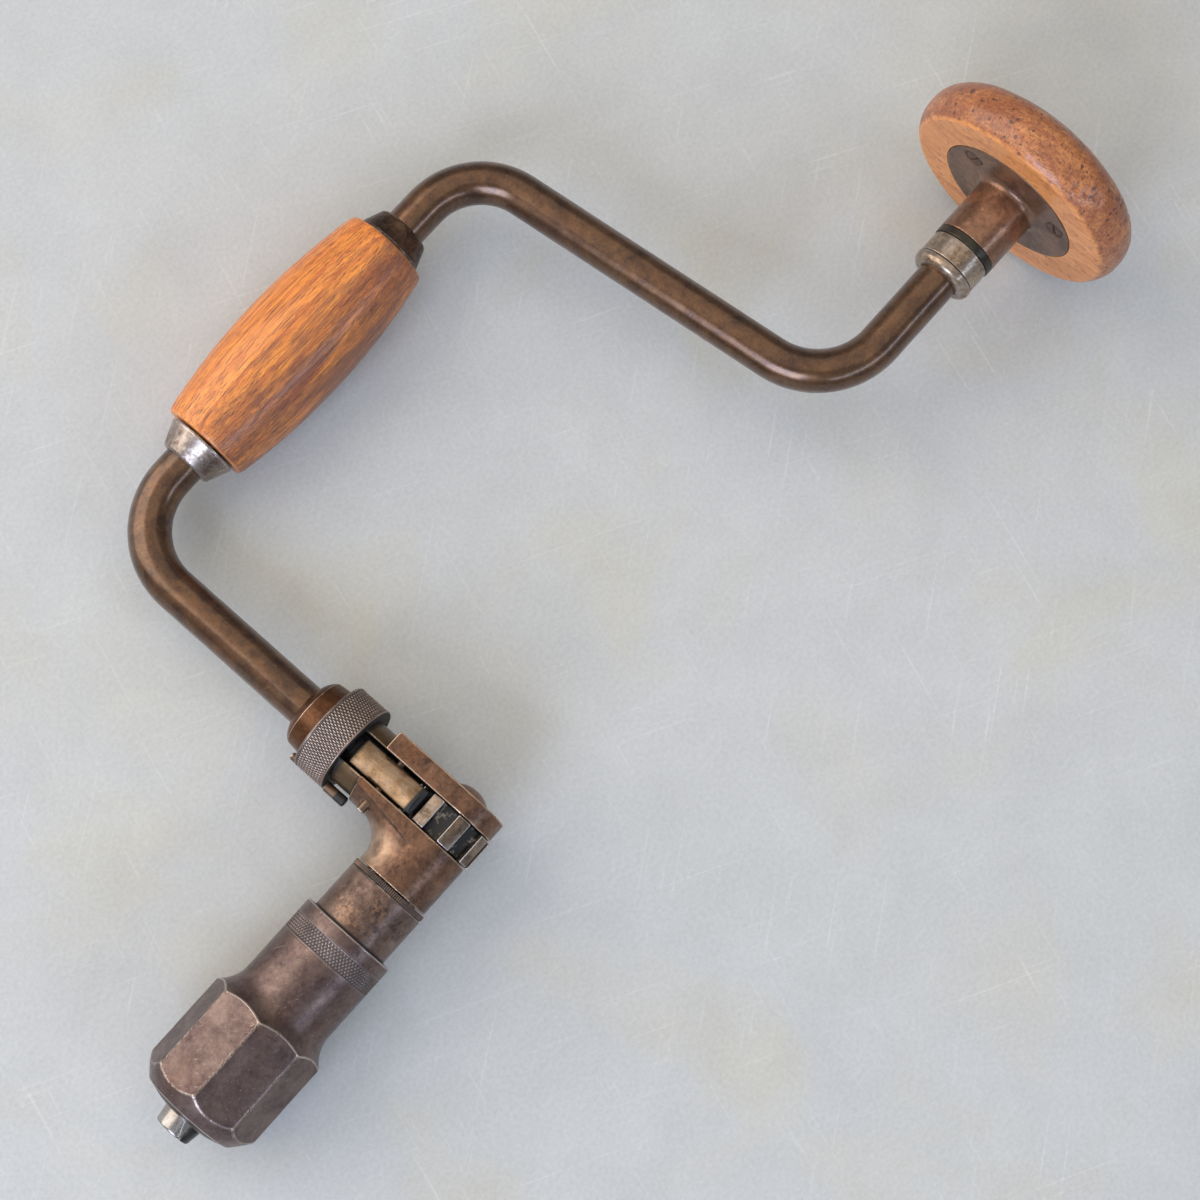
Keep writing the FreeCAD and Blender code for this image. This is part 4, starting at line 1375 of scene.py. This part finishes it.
@dataclass
class Ratchet:
    """The forged frame with its knurled ring, collar, pins, pawls and gear."""

    ring_start: float = 32.9
    ring_end: float = 43.75
    ring_radius: float = 14.15
    ring_bore: float = 10.65
    ring_turn: float = 22.5
    rim: float = 0.75
    pocket_radius: float = 7.3
    pocket_centre: float = 5.6
    pocket_depth: float = 3.5
    knurl_depth: float = 0.34
    keeper_low: float = 43.9
    keeper_high: float = 51.6
    keeper_radii: Pair = (11.4, 10.8)
    stop_circle: float = 12.85
    stop_radii: Pair = (1.15, 1.55)
    stop_low: float = 25.5
    stop_high: float = 45.95
    pin_radius: float = 1.3
    pin_y: float = 19.8
    pin_z: float = 6.0
    pin_stubs: Pair = (-12.0, -10.8)
    pin_high: float = 11.5
    cap_low: float = 11.85
    cap_radius: float = 5.65
    cap_rise: float = 2.1
    centre_mark: float = 0.45

    def ring(self, shop: Workshop, columns: int = 756) -> Object:
        """The selector ring: diamond knurling between plain rims, and two pockets for the pawls' tails.

        Args:
            shop: the workshop that makes and hangs the pieces.
            columns: how many points go round.

        Returns:
            The piece.
        """
        low, high, radius = self.ring_start, self.ring_end, self.ring_radius
        band = np.linspace((low + self.rim, radius), (high - self.rim, radius), 62)
        inward = np.linspace((low, self.ring_bore + 0.3), (low, radius - 0.8), 14)
        outline = section(inward, (low, radius - 0.35, 0.3), (low + 0.45, radius, 0.3), band,
                          (high - 0.45, radius, 0.3), (high, radius - 0.35, 0.3), (high, self.ring_bore, 0.2),
                          (low, self.ring_bore, 0.2), step=0.9)
        on_band = (outline[:, 1] > radius - 0.01).astype(float)
        inset = np.minimum(outline[:, 0] - low, high - outline[:, 0]) - self.rim
        fade = smooth_step(inset, -0.05, 0.35)
        families = [Groove(84, 30.0, self.knurl_depth), Groove(84, -30.0, self.knurl_depth)]
        relief = knurl(outline[:, :1], angles(columns)[None], radius, families, 0.18)
        skin = turned(outline, columns, Axis.ARM, relief=relief * (fade * on_band)[:, None])
        angle = math.radians(self.ring_turn)
        left, up = self.pocket_centre * math.sin(angle), self.pocket_centre * math.cos(angle)
        x, y, z = np.moveaxis(skin.points, -1, 0)
        for side in (1, -1):
            away = np.hypot(x + left, z - side * up)
            inside = 1 - smooth_step(away, self.pocket_radius, self.pocket_radius + 0.35)
            y = np.maximum(y, low + self.pocket_depth * inside)
        skin.points[..., 1] = y

        def under(points: np.ndarray) -> np.ndarray:
            """Black on the ring's lower face and in its pockets: grease, and painted shade where the ring
            overhangs the neck.
            """
            x, y, z = points.T
            within = (np.hypot(x, z) < radius - 0.9) & (y < high - 0.5)
            return smooth_step(-y, -low - 0.35, -low - 0.1) + within

        return shop.piece("knurled_ring", [skin], Care(2.6, 1, soil=under))

    def collar(self, shop: Workshop) -> Object:
        """The collar behind the ring: a slightly tapered barrel with a worn edge and a domed end.

        Args:
            shop: the workshop that makes and hangs the pieces.

        Returns:
            The piece.
        """
        low, high, (wide, narrow) = self.keeper_low, self.keeper_high, self.keeper_radii
        shoulder = high - 2.3
        end = shallow_arc((shoulder, narrow), (high, 7.6), 0.3, 10)
        outline = section((low, 6.35), (low, wide, 0.3), (shoulder - 0.15, narrow + 0.02, 0.35), end[1:],
                          (high, 6.35), step=0.35)
        skin = turned(outline, 180, Axis.ARM).worn(14, 1.6, 0.05)
        return shop.piece("ring_keeper", [skin], Care(1.2, 1))

    def stop(self, shop: Workshop) -> Object:
        """The pin through the ring's wall, with rounded ends and a thicker foot under the ring.

        Args:
            shop: the workshop that makes and hangs the pieces.

        Returns:
            The piece.
        """
        thin, foot = self.stop_radii
        step = self.ring_start - 0.05
        outline = section((self.stop_low, 0.0), (self.stop_low, foot, 0.6), (step, foot, 0.2), (step, thin),
                          (self.stop_high, thin, 0.6), (self.stop_high, 0.0), step=0.3, closed=False)
        skin = turned(outline, 48, Axis.ARM, closed=False)
        skin.points[..., 0] -= self.stop_circle
        greased = Care(soil=lambda points: smooth_step(-points[:, 1], -29.5, -28.3))
        return shop.piece("ring_pin", [skin], greased)

    def pins(self, shop: Workshop) -> Object:
        """The two pins that the pawls turn on, with lightly peened ends.

        Args:
            shop: the workshop that makes and hangs the pieces.

        Returns:
            The piece.
        """
        skins = []
        high, radius = self.pin_high, self.pin_radius
        for side, stub in zip((1, -1), self.pin_stubs):
            outline = section((stub, 0.0), (stub, radius, 0.35), (high, radius, 0.3), (high, 0.0),
                              step=0.4, closed=False)
            skin = turned(outline, 40, Axis.MAIN, closed=False)
            skin.points[..., 1:] += (self.pin_y, side * self.pin_z)
            skins.append(skin)
        return shop.piece("rocking_pins", skins)

    def cap(self, shop: Workshop) -> Object:
        """The spindle's domed end with a turner's centre mark.

        Args:
            shop: the workshop that makes and hangs the pieces.

        Returns:
            The piece.
        """
        low, radius, rise = self.cap_low, self.cap_radius, self.cap_rise
        dome_radius = (rise ** 2 + radius ** 2) / (2 * rise)
        dome = arc((low + rise - dome_radius, 0), dome_radius, math.asin(radius / dome_radius), 0, 34)
        dome[:, 0] -= self.centre_mark * np.exp(-(dome[:, 1] / 0.7) ** 2)
        outline = section((low, 0.0), (low, radius, 0.1), dome[1:], step=0.4, closed=False)
        return shop.piece("domed_end", [turned(outline, 120, Axis.MAIN, closed=False)])

    @staticmethod
    def frame_grease_and_shadow(points: np.ndarray) -> np.ndarray:
        """Grease in the fork's slot and around the gear, and close under the ring grease with the ring's
        painted shadow on the neck.

        Args:
            points: points in millimetres of the brace's frame.

        Returns:
            How dark each point is painted, from 0 to 1.
        """
        x, y, z = points.T
        in_slot = (x > -4.62) & (x < 5.72) & (np.hypot(np.minimum(y, 0), z) < 11.2)
        # The band close under the ring is the ring's painted shadow on the neck, with grease.
        return np.maximum(in_slot, 0.7 * smooth_step(y, 31.0, 32.6))

    @staticmethod
    def elbow_rub_and_highlight(points: np.ndarray) -> np.ndarray:
        """The inside of the frame's elbow, rubbed bright by the hand and painted brighter still as a
        highlight.

        Args:
            points: points in millimetres of the brace's frame.

        Returns:
            How bright each point is painted, from 0 to 1: rubbed steel and a painted highlight.
        """
        x, y, z = points.T
        across = smooth_step(-np.abs(x + 16.5), -6.5, -2.5)
        return across * smooth_step(y, 2.0, 9.0) * smooth_step(z, -1.0, 5.0)

    @staticmethod
    def ridge_calm(points: np.ndarray) -> np.ndarray:
        """The soft ridge down the cheek, which isn't worn bright as the arrises are.

        Args:
            points: points in millimetres of the brace's frame.

        Returns:
            How much of the wear is left at each point, from 0 to 1.
        """
        x, y, z = points.T
        off = np.abs(x + 4.7 + (26.5 - y) * 0.166)
        return smooth_step(-off, -2.2, -1.5) * smooth_step(-y, -25.6, -24.6) * (z > 4.0) * (x < -5.0)

    @staticmethod
    def pawl_grease_and_shade(points: np.ndarray) -> np.ndarray:
        """Grease and painted shade on the pawls' tails under the ring, and grease on their flanks and near
        their noses.

        Args:
            points: points in millimetres of the brace's frame.

        Returns:
            How dark each point is painted, from 0 to 1.
        """
        _, y, z = points.T
        deep = smooth_step(-np.abs(z), -8.6, -6.5)
        # Past y 30.6 the tail lies under the ring: painted shade, with grease.
        return np.maximum.reduce([smooth_step(y, 30.6, 31.1), deep, 0.9 * smooth_step(-y, -10.8, -9.6)])

    @staticmethod
    def gear_soil(points: np.ndarray) -> np.ndarray:
        """Black grease in the gear's gaps: the nearer to its root, the thicker."""
        return smooth_step(-np.hypot(points[:, 1], points[:, 2]), -12.0, -11.0)

    def build(self, shop: Workshop, steel: Steels) -> None:
        """Builds the ratchet's pieces.

        Args:
            shop: the workshop that makes and hangs the pieces.
            steel: the steel finishes by name.
        """
        frame_care = Care(0.9, 1, soil=self.frame_grease_and_shadow, oil=lambda p: smooth_step(p[:, 1], 24.6, 25.6),
                          rub=self.elbow_rub_and_highlight, calm=self.ridge_calm)
        forged = shop.fine_copy("forged_frame", "ratchet_frame", 0.32, care=frame_care)
        shop.hang(forged, "root", "ratchet_frame", steel["forged"])
        shop.hang(self.ring(shop), "ring", "cam_ring", steel["ring"])
        shop.hang(self.collar(shop), "root", "ring_collar", steel["keeper"])
        shop.hang(self.stop(shop), "ring", "stop_pin", steel["pin"])
        shop.hang(self.pins(shop), "root", "pawl_pins", steel["pin"])
        shop.hang(self.cap(shop), "chuck", "spindle_cap", steel["forged"])
        for side in ("upper", "lower"):
            name, node = f"{side}_ratchet_pawl", f"pawl_{side}"
            pawl = shop.fine_copy(name, node, 0.17, care=Care(soil=self.pawl_grease_and_shade))
            shop.hang(pawl, f"{side}_pawl", node, steel["pawl"])
        wheel = shop.fine_copy("toothed_wheel", "ratchet_gear", 0.2, care=Care(soil=self.gear_soil))
        shop.hang(wheel, "chuck", "ratchet_gear", steel["gear"])
        for node in ("rod_pin", "pawl_spring", "gear_key", "spindle"):
            dress_node(node, steel["plain"])


@dataclass
class Chuck:
    """The chuck's body, milled ring, octagonal shell and jaws."""

    shell_top: float = -38.7
    waist: float = 14.8
    bore: float = 12.45
    corner: float = 19.0
    octagon_high: float = -71.6
    octagon_low: float = -97.4
    waist_round: float = 10.2
    nose_edge: Pair = (-103.2, 14.4)
    nose: float = -104.8
    mouth: float = 6.5
    mouth_rim: float = 9.0
    mouth_angle: float = 9.0
    shoulder: float = -79.3
    turned_by: float = 3.6
    band_low: float = -49.0
    band_high: float = -42.3
    blend: float = 0.4
    milled_low: float = -23.4
    milled_high: float = -21.8
    milled_radius: float = 12.4

    def surface_wear(self, points: np.ndarray) -> np.ndarray:
        """How far the shell's outside is dented and pitted.

        Args:
            points: points in millimetres of the brace's frame.

        Returns:
            The height to add at each point.
        """
        noise = Grit(41)
        dents = noise.at(points, (6.0, 6.0, 6.0), 2) - 0.5
        rough = smooth_step(noise.at(points + 50, (1.3, 1.3, 1.3), 3), 0.55, 0.8)
        return 0.07 * dents - 0.03 * rough

    def shell(self, shop: Workshop, columns: int = 480) -> Object:
        """The shell: a turned blank ground to eight flats above its waist.

        The radius is the soft lesser of the blank's and the flats', and a flat's radius is its distance from
        the axis divided by the cosine of the angle from its middle.

        Args:
            shop: the workshop that makes and hangs the pieces.
            columns: how many points go round.

        Returns:
            The piece.
        """
        slope = math.tan(math.radians(self.mouth_angle))
        step = self.corner - self.waist
        sweep = math.acos(1 - step / self.waist_round)
        centre = (self.octagon_high + self.waist_round * math.sin(sweep), self.waist + self.waist_round)
        neck = arc(centre, self.waist_round, -math.pi / 2 - sweep, -math.pi / 2, 34)
        nose = shallow_arc(self.nose_edge, (self.octagon_low, self.corner), 0.15, 20)
        flats = np.linspace((self.octagon_low + 0.5, self.corner), (self.octagon_high - 0.5, self.corner), 30)
        shoulder_cone = self.mouth + (self.shoulder - self.nose) * slope
        seat = self.waist - 0.5
        outline = section(
            (self.nose, self.mouth, 0.3), (self.nose, self.mouth_rim, 0.8), (*self.nose_edge, 0.8),
            nose[1:-1], (self.octagon_low, self.corner), flats, (self.octagon_high, self.corner), neck[1:],
            (self.band_low + 0.7, self.waist), (self.band_low + 0.75, seat),
            (self.band_high - 0.75, seat), (self.band_high - 0.7, self.waist),
            (self.shell_top, self.waist, 0.45), (self.shell_top, self.bore, 0.2),
            (self.shoulder, self.bore), (self.shoulder, shoulder_cone), step=0.8)
        within = (outline[:, 0] > self.nose + 1) & (outline[:, 1] < self.bore + 0.05)
        outline = outline[~within | (np.arange(len(outline)) % 5 == 0)]
        blank = outline[:, 1:] + np.zeros(columns)
        facet = math.pi / 4
        middle = self.corner * math.cos(facet / 2)
        from_middle = np.mod(angles(columns) + math.radians(self.turned_by), facet) - facet / 2
        flat, beside = middle / np.cos(from_middle), middle / np.cos(facet - np.abs(from_middle))
        prism = soft_least(flat, beside, self.blend)
        ground = soft_least(blank, prism + np.zeros_like(blank), self.blend)
        relief = np.where(blank > self.waist + self.blend, ground - blank, 0.0)
        skin = turned(outline, columns, Axis.MAIN, relief=relief)
        shown = np.hypot(skin.points[..., 1], skin.points[..., 2]) > self.bore + 0.6

        def soil(points: np.ndarray) -> np.ndarray:
            """Grease and painted shade in the mouth and in the bore."""
            away = np.hypot(points[:, 1], points[:, 2])
            return (away < self.bore + 0.4) & ((points[:, 0] > self.nose + 0.5) | (away < self.mouth + 0.1))

        skin = skin.raised(self.surface_wear(skin.points) * shown)
        return shop.piece("octagon_shell", [skin], Care(0.55, 0, soil=soil))

    def knurled_band(self, shop: Workshop, columns: int = 840) -> Object:
        """The shell's knurled band: a sleeve let into the shell, with two families of shallow grooves.

        Args:
            shop: the workshop that makes and hangs the pieces.
            columns: how many points go round.

        Returns:
            The piece.
        """
        x = np.linspace(self.band_low - 0.1, self.band_high + 0.1, 64)
        ends = smooth_step(np.minimum(x - self.band_low, self.band_high - x), -0.1, 0.35)
        rows = np.stack([x, self.waist - 0.10 + 0.125 * ends], 1)
        outline = section((x[0], self.waist - 0.45), rows, (x[-1], self.waist - 0.45), step=0.8)
        inward = np.minimum(outline[:, 0] - self.band_low, self.band_high - outline[:, 0])
        shown = outline[:, 1] > self.waist - 0.2
        fade = smooth_step(inward, 0.6, 1.15) * shown
        families = [Groove(84, 34.0, 0.30), Groove(84, -34.0, 0.24)]
        cut = knurl(outline[:, :1], angles(columns)[None], self.waist, families, 0.12) * fade[:, None]
        skin = turned(outline, columns, Axis.MAIN, relief=cut)
        skin = skin.raised(self.surface_wear(skin.points) * shown[:, None])
        return shop.piece("shell_knurling", [skin], Care(3.5, 0))

    def milled_ring(self, shop: Workshop, columns: int = 864) -> Object:
        """The thin ring over the balls, its edge milled with straight grooves.

        Args:
            shop: the workshop that makes and hangs the pieces.
            columns: how many points go round.

        Returns:
            The piece.
        """
        low, high, radius, bore, bevel = self.milled_low, self.milled_high, self.milled_radius, 10.0, 0.05
        outline = section((low, bore), (low, radius - bevel, 0.15), (low + 0.25, radius),
                          (high - 0.25, radius), (high, radius - bevel, 0.15), (high, bore), step=0.3)
        cut = knurl(outline[:, :1], angles(columns)[None], radius, [Groove(120, 0.0, 0.28)], 0.25)
        skin = turned(outline, columns, Axis.MAIN, relief=cut * (outline[:, 1:] > radius - 0.1))
        return shop.piece("milled_ring", [skin], Care(3.5, 1))

    def jaw_grease_and_shade(self, points: np.ndarray) -> np.ndarray:
        """Grease and painted shade in the jaws' grooves, on their split faces and where they leave the shell.
        """
        return np.maximum(smooth_step(-np.hypot(points[:, 1], points[:, 2]), -4.6, -4.0),
                          0.7 * smooth_step(points[:, 0], self.nose - 0.2, self.nose + 0.6))

    def build(self, shop: Workshop, steel: Steels) -> None:
        """Builds the chuck's pieces.

        Args:
            shop: the workshop that makes and hangs the pieces.
            steel: the steel finishes by name.
        """
        shop.hang(self.shell(shop), "shell", "chuck_shell", steel["shell"])
        shop.hang(self.knurled_band(shop), "shell", "chuck_shell", steel["band"])
        shop.hang(self.milled_ring(shop), "chuck", "chuck_dust_ring", steel["milled"])
        # Darker just below the shell's top edge, where the barrel goes in: painted shade in the gap.
        barrel_care = Care(1.0, 1, soil=lambda p: smooth_step(-p[:, 0], 37.6, 38.6))
        barrel = shop.fine_copy("chuck_barrel", "chuck_body", 0.44, 1, barrel_care)
        shop.hang(barrel, "chuck", "chuck_body", steel["barrel"])
        for node, body in (("jaw_a", "first_jaw"), ("jaw_b", "second_jaw")):
            jaw = shop.fine_copy(f"gripping_{node}", node, 0.24, care=Care(soil=self.jaw_grease_and_shade))
            shop.hang(jaw, body, node, steel[node])
        for node in ("chuck_thrust_balls", "jaw_spring"):
            dress_node(node, steel["plain"])


STEELS = {
    "rod": SteelFinish("rod_patina", dark=(0.036, 0.0125, 0.005), warm=(0.155, 0.062, 0.02), share=0.42,
        mottle=0.26, rusting=0.1, polish=0.35, along=(0.6, 0.6, 0.6), bare_and_highlight=(0.28, 0.145, 0.055),
        rough=(0.34, 0.28), pits=0.2, coat=0.8, coat_rough=0.21, scratches=0.6),
    "forged": SteelFinish("forged_patina", dark=(0.058, 0.027, 0.018), warm=(0.26, 0.135, 0.078),
        share=0.45, mottle=0.55, rusting=0.45, bare_and_highlight=(0.62, 0.43, 0.29), pits=0.8, coat=0.25),
    "ring": SteelFinish("knurl_patina", dark=(0.105, 0.066, 0.05), warm=(0.26, 0.178, 0.14), wear=0.9,
        mottle=0.4, bare_and_highlight=(0.56, 0.46, 0.4), pits=0.1, rusting=0.1, coat=0.1),
    "keeper": SteelFinish("keeper_patina", dark=(0.06, 0.021, 0.008), warm=(0.185, 0.072, 0.026),
        rusting=0.3, mottle=0.45, coat=0.15, coat_rough=0.2),
    "pin": SteelFinish("pin_steel", dark=(0.085, 0.048, 0.029), warm=(0.24, 0.16, 0.11)),
    "pawl": SteelFinish("pawl_steel", dark=(0.06, 0.028, 0.011), warm=(0.25, 0.148, 0.068), mottle=0.35,
        polish=0.5, along=(1.2, 0.08, 1.2), bare_and_highlight=(0.46, 0.34, 0.24), rough=(0.28, 0.2), pits=0.4,
        coat=0.3, coat_rough=0.15),
    "gear": SteelFinish("gear_steel", dark=(0.06, 0.034, 0.018), warm=(0.25, 0.158, 0.088), polish=0.35,
        mottle=0.8, bare_and_highlight=(0.46, 0.42, 0.39), rough=(0.34, 0.26), coat=0.3, grease=0.7),
    "barrel": SteelFinish("barrel_patina", dark=(0.075, 0.045, 0.036), warm=(0.26, 0.172, 0.135),
        rusting=0.6, rust=(0.38, 0.21, 0.12), mottle=0.55),
    "shell": SteelFinish("shell_patina", dark=(0.078, 0.047, 0.045), warm=(0.215, 0.148, 0.125),
        wear=0.85, rusting=0.12, bare_and_highlight=(0.46, 0.38, 0.33), mottle=0.45, pits=0.35, grime_amount=0.25,
        scratches=0.5),
    "band": SteelFinish("band_patina", dark=(0.12, 0.088, 0.084), warm=(0.235, 0.178, 0.162), wear=0.5,
        mottle=0.3, bare_and_highlight=(0.38, 0.32, 0.29), pits=0.0, rusting=0.05, grime_amount=0.9),
    "milled": SteelFinish("milled_patina", dark=(0.09, 0.06, 0.049), warm=(0.16, 0.108, 0.084),
        wear=0.4, bare_and_highlight=(0.3, 0.24, 0.2)),
    "jaw_a": SteelFinish("jaw_steel", dark=(0.22, 0.17, 0.13), warm=(0.37, 0.34, 0.31), polish=0.5,
        rusting=0.5, bare_and_highlight=(0.55, 0.55, 0.55), rough=(0.28, 0.2), metallic=0.95),
    # The second jaw is the jaw steel painted nearly black: painted shade on the jaw turned from the light.
    "jaw_b": SteelFinish("dark_jaw_steel", dark=(0.02, 0.018, 0.018), warm=(0.075, 0.068, 0.062),
        wear=0.5, rough=(0.34, 0.3)),
    "ferrule": SteelFinish("ferrule_steel", dark=(0.13, 0.085, 0.062), warm=(0.44, 0.36, 0.31),
        share=0.52, pits=1.0, polish=0.35, rough=(0.38, 0.28), bare_and_highlight=(0.56, 0.52, 0.5), mottle=0.75),
    "dark_ferrule": SteelFinish("dark_ferrule_steel", dark=(0.036, 0.018, 0.012),
        warm=(0.15, 0.082, 0.047), pits=0.8, wear=0.5, mottle=0.8),
    "collar": SteelFinish("collar_steel", dark=(0.13, 0.072, 0.04), warm=(0.46, 0.35, 0.25), share=0.52,
        polish=0.4, pits=0.7, rough=(0.38, 0.28), bare_and_highlight=(0.58, 0.54, 0.51), wear=0.6, mottle=0.8),
    "quill": SteelFinish("quill_patina", dark=(0.125, 0.058, 0.036), warm=(0.38, 0.2, 0.115),
        rusting=0.2, rough=(0.34, 0.3), wear=0.3, mottle=0.45, coat=0.3, coat_rough=0.2),
    "screw": SteelFinish("screw_steel", dark=(0.08, 0.042, 0.031), warm=(0.18, 0.105, 0.07), wear=0.15,
        grime_amount=0.15),
    "bearing": SteelFinish("bearing_steel", dark=(0.024, 0.021, 0.016), warm=(0.07, 0.062, 0.046),
        wear=0.15),
    "plain": SteelFinish("inner_steel", dark=(0.12, 0.11, 0.1), warm=(0.22, 0.2, 0.17)),
}

WOODS = {
    "handle": WoodFinish("grip_wood", heart=(0.0, -92.0, -30.0)),
    "head": WoodFinish("head_wood", heart=(0.0, 0.0, 60.0), turn=(0.0, 0.0, 1.45),
        pale=(0.76, 0.315, 0.095), deep=(0.54, 0.17, 0.042), grime_and_shade=(0.23, 0.055, 0.02), ring_share=0.15,
        pore_amount=0.45, clean_pores=0.1, mottle=1.0, streak=0.8, hair=0.2, pits=1.5, flecks=0.8,
        coat=0.55),
}


@dataclass(frozen=True)
class Lamp:
    """A soft area lamp: its way to the picture's right, up and towards the camera, and how it glows."""

    name: str
    way: Triple
    distance: float
    size: Pair
    glow: float
    tint: Colour


@dataclass
class Setting:
    """The pale table, the soft light and the photograph's camera."""

    eye: Triple = (-24.592, -118.936, 734.124)
    turn: Triple = (2.66718818, -1.20433681, 0.0775545695)
    lens: float = 80.0768
    table_half: float = 3.0
    paint: Colour = (0.518, 0.521, 0.505)
    warm_paint: Colour = (0.525, 0.505, 0.43)
    speck: Colour = (0.22, 0.21, 0.19)
    ambient: Colour = (0.265, 0.275, 0.29)
    lamps: tuple[Lamp, ...] = (
        Lamp("ceiling", (0.1, 0.55, 1.0), 2.4, (3.2, 3.2), 0.70, (1.0, 0.89, 0.75)),
        Lamp("wall", (-0.9, 0.45, 0.62), 2.2, (2.1, 2.3), 2.5, (1.0, 0.94, 0.87)),
        Lamp("window", (-0.5, -0.75, 0.9), 2.2, (1.15, 1.15), 8.5, (0.67, 0.77, 1.0)),
        Lamp("far_window", (0.75, -0.6, 0.74), 2.0, (2.2, 0.26), 5.5, (0.60, 0.75, 1.0)),
    )

    def camera_axes(self, tool: ToolFrame) -> np.ndarray:
        """The camera's right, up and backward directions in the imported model, as rows.

        Args:
            tool: where the brace lies.

        Returns:
            The camera's axes.
        """
        spin = np.array(self.turn)
        look = np.array(Matrix.Rotation(float(np.linalg.norm(spin)), 3, Vector(spin)))
        return np.array([look[0], -look[1], -look[2]]) @ tool.axes

    def camera(self, tool: ToolFrame) -> None:
        """Places the camera where the photograph was taken.

        Args:
            tool: where the brace lies.
        """
        axes = self.camera_axes(tool)
        data = bpy.data.cameras.new("photo_camera")
        data.lens = self.lens
        data.sensor_width = 36.0
        data.clip_start = 0.01
        eye = bpy.data.objects.new("photo_camera", data)
        bpy.context.scene.collection.objects.link(eye)
        placed = Matrix(axes.T.tolist()).to_4x4()
        placed.translation = Vector(tool.place(np.array(self.eye)))
        eye.matrix_world = placed
        bpy.context.scene.camera = eye

    @staticmethod
    def lamp(lamp: Lamp, way: np.ndarray) -> None:
        """Hangs an area lamp off the brace so that it faces it.

        Args:
            lamp: the lamp.
            way: the direction from the brace to the lamp.
        """
        data = bpy.data.lights.new(lamp.name, "AREA")
        data.shape = "RECTANGLE"
        data.size, data.size_y = lamp.size
        data.energy = lamp.glow * math.pi * lamp.size[0] * lamp.size[1]
        data.color = lamp.tint
        made = bpy.data.objects.new(lamp.name, data)
        bpy.context.scene.collection.objects.link(made)
        way = Vector(way / np.linalg.norm(way))
        made.matrix_world = way.to_track_quat("Z", "Y").to_matrix().to_4x4()
        made.matrix_world.translation = way * lamp.distance

    def table(self, effects: Effects) -> None:
        """A wide flat painted top, with faint warm patches, mottling, scratches and a few dark specks.

        Args:
            effects: the shared shader groups.
        """
        half = self.table_half
        corners = np.array([(-half, -half, 0), (half, -half, 0), (half, half, 0), (-half, half, 0)])
        mesh = new_mesh("table_top", corners, np.array([[0, 1, 2, 3]]))
        top = bpy.data.objects.new("table_top", mesh)
        bpy.context.scene.collection.objects.link(top)
        made = bpy.data.materials.new("table_paint")
        made.use_nodes = True
        made.node_tree.nodes.clear()
        recipe = Recipe(made.node_tree)
        where = recipe.stretch(recipe.add("TexCoord").outputs["Object"], (1 / MM, 1 / MM, 1 / MM))
        patches = recipe.noise(where, 60.0, 3.0, 0.5, 0.5)
        colour = recipe.blend(patches.span(0.5, 0.7, 0.0, 0.7), self.paint, self.warm_paint)
        cloud = recipe.noise(where, 22.0, 5.0, 0.62, 0.4)
        shade = (recipe.noise(where, 1.3, 3.0, 0.7) * 0.65 + cloud * 0.35).span(0.3, 0.7, 0.88, 1.10)
        for angle, length in ((0.5, 0.012), (1.9, 0.02), (2.6, 0.015)):
            turned_to = recipe.add("Mapping", {"Vector": where, "Rotation": (0.0, 0.0, angle)}).outputs[0]
            hair = recipe.noise(recipe.stretch(turned_to, (length, 0.9, 1.0)), 1.0, 2.0, 0.5, 0.6)
            there = recipe.noise(turned_to, 28.0, 2.0, 0.5)
            shade = shade + hair.span(0.64, 0.72) * there.span(0.42, 0.6, 0.0, 0.11)
        specks = recipe.add(effects.pits, {"Vector": where, "Spacing": 9.0, "Amount": 0.16}).outputs["Mask"]
        colour = recipe.blend(Value(recipe, specks) * 0.35, recipe.shade(colour, shade), self.speck)
        recipe.end("BsdfPrincipled", {"Base Color": colour, "Roughness": 0.5, "Specular IOR Level": 0.35})
        mesh.materials.append(made)

    def world(self) -> None:
        """Even pale grey surroundings."""
        world = bpy.data.worlds.new("room")
        bpy.context.scene.world = world
        world.use_nodes = True
        world.node_tree.nodes.clear()
        background = {"Color": self.ambient, "Strength": 1.0}
        Recipe(world.node_tree).end("Background", background, "OutputWorld")

    def build(self, tool: ToolFrame, effects: Effects) -> None:
        """Sets the table, the lamps and the camera.

        Args:
            tool: where the brace lies.
            effects: the shared shader groups.
        """
        bpy.context.scene.view_settings.view_transform = "Standard"
        right, up, back = self.camera_axes(tool)
        self.camera(tool)
        self.table(effects)
        self.world()
        for lamp in self.lamps:
            across, along, off = lamp.way
            self.lamp(lamp, right * across + up * along + back * off)


def main() -> None:
    """Builds every piece and its surroundings."""
    logging.basicConfig(level=logging.INFO, format="%(message)s")
    tool = ToolFrame.from_joints(frame["joints"])
    effects = Effects.build()
    Setting().build(tool, effects)
    steel = {key: finish.material(effects, tool) for key, finish in STEELS.items()}
    wood = {key: finish.material(effects, tool) for key, finish in WOODS.items()}
    shop = Workshop(tool)
    Crank().build(shop, steel)
    Handle().build(shop, wood["handle"])
    Head().build(shop, steel, wood["head"])
    Ratchet().build(shop, steel)
    Chuck().build(shop, steel)
    log.info("%d pieces made", len(shop.made))


if __name__ == "__main__":
    main()
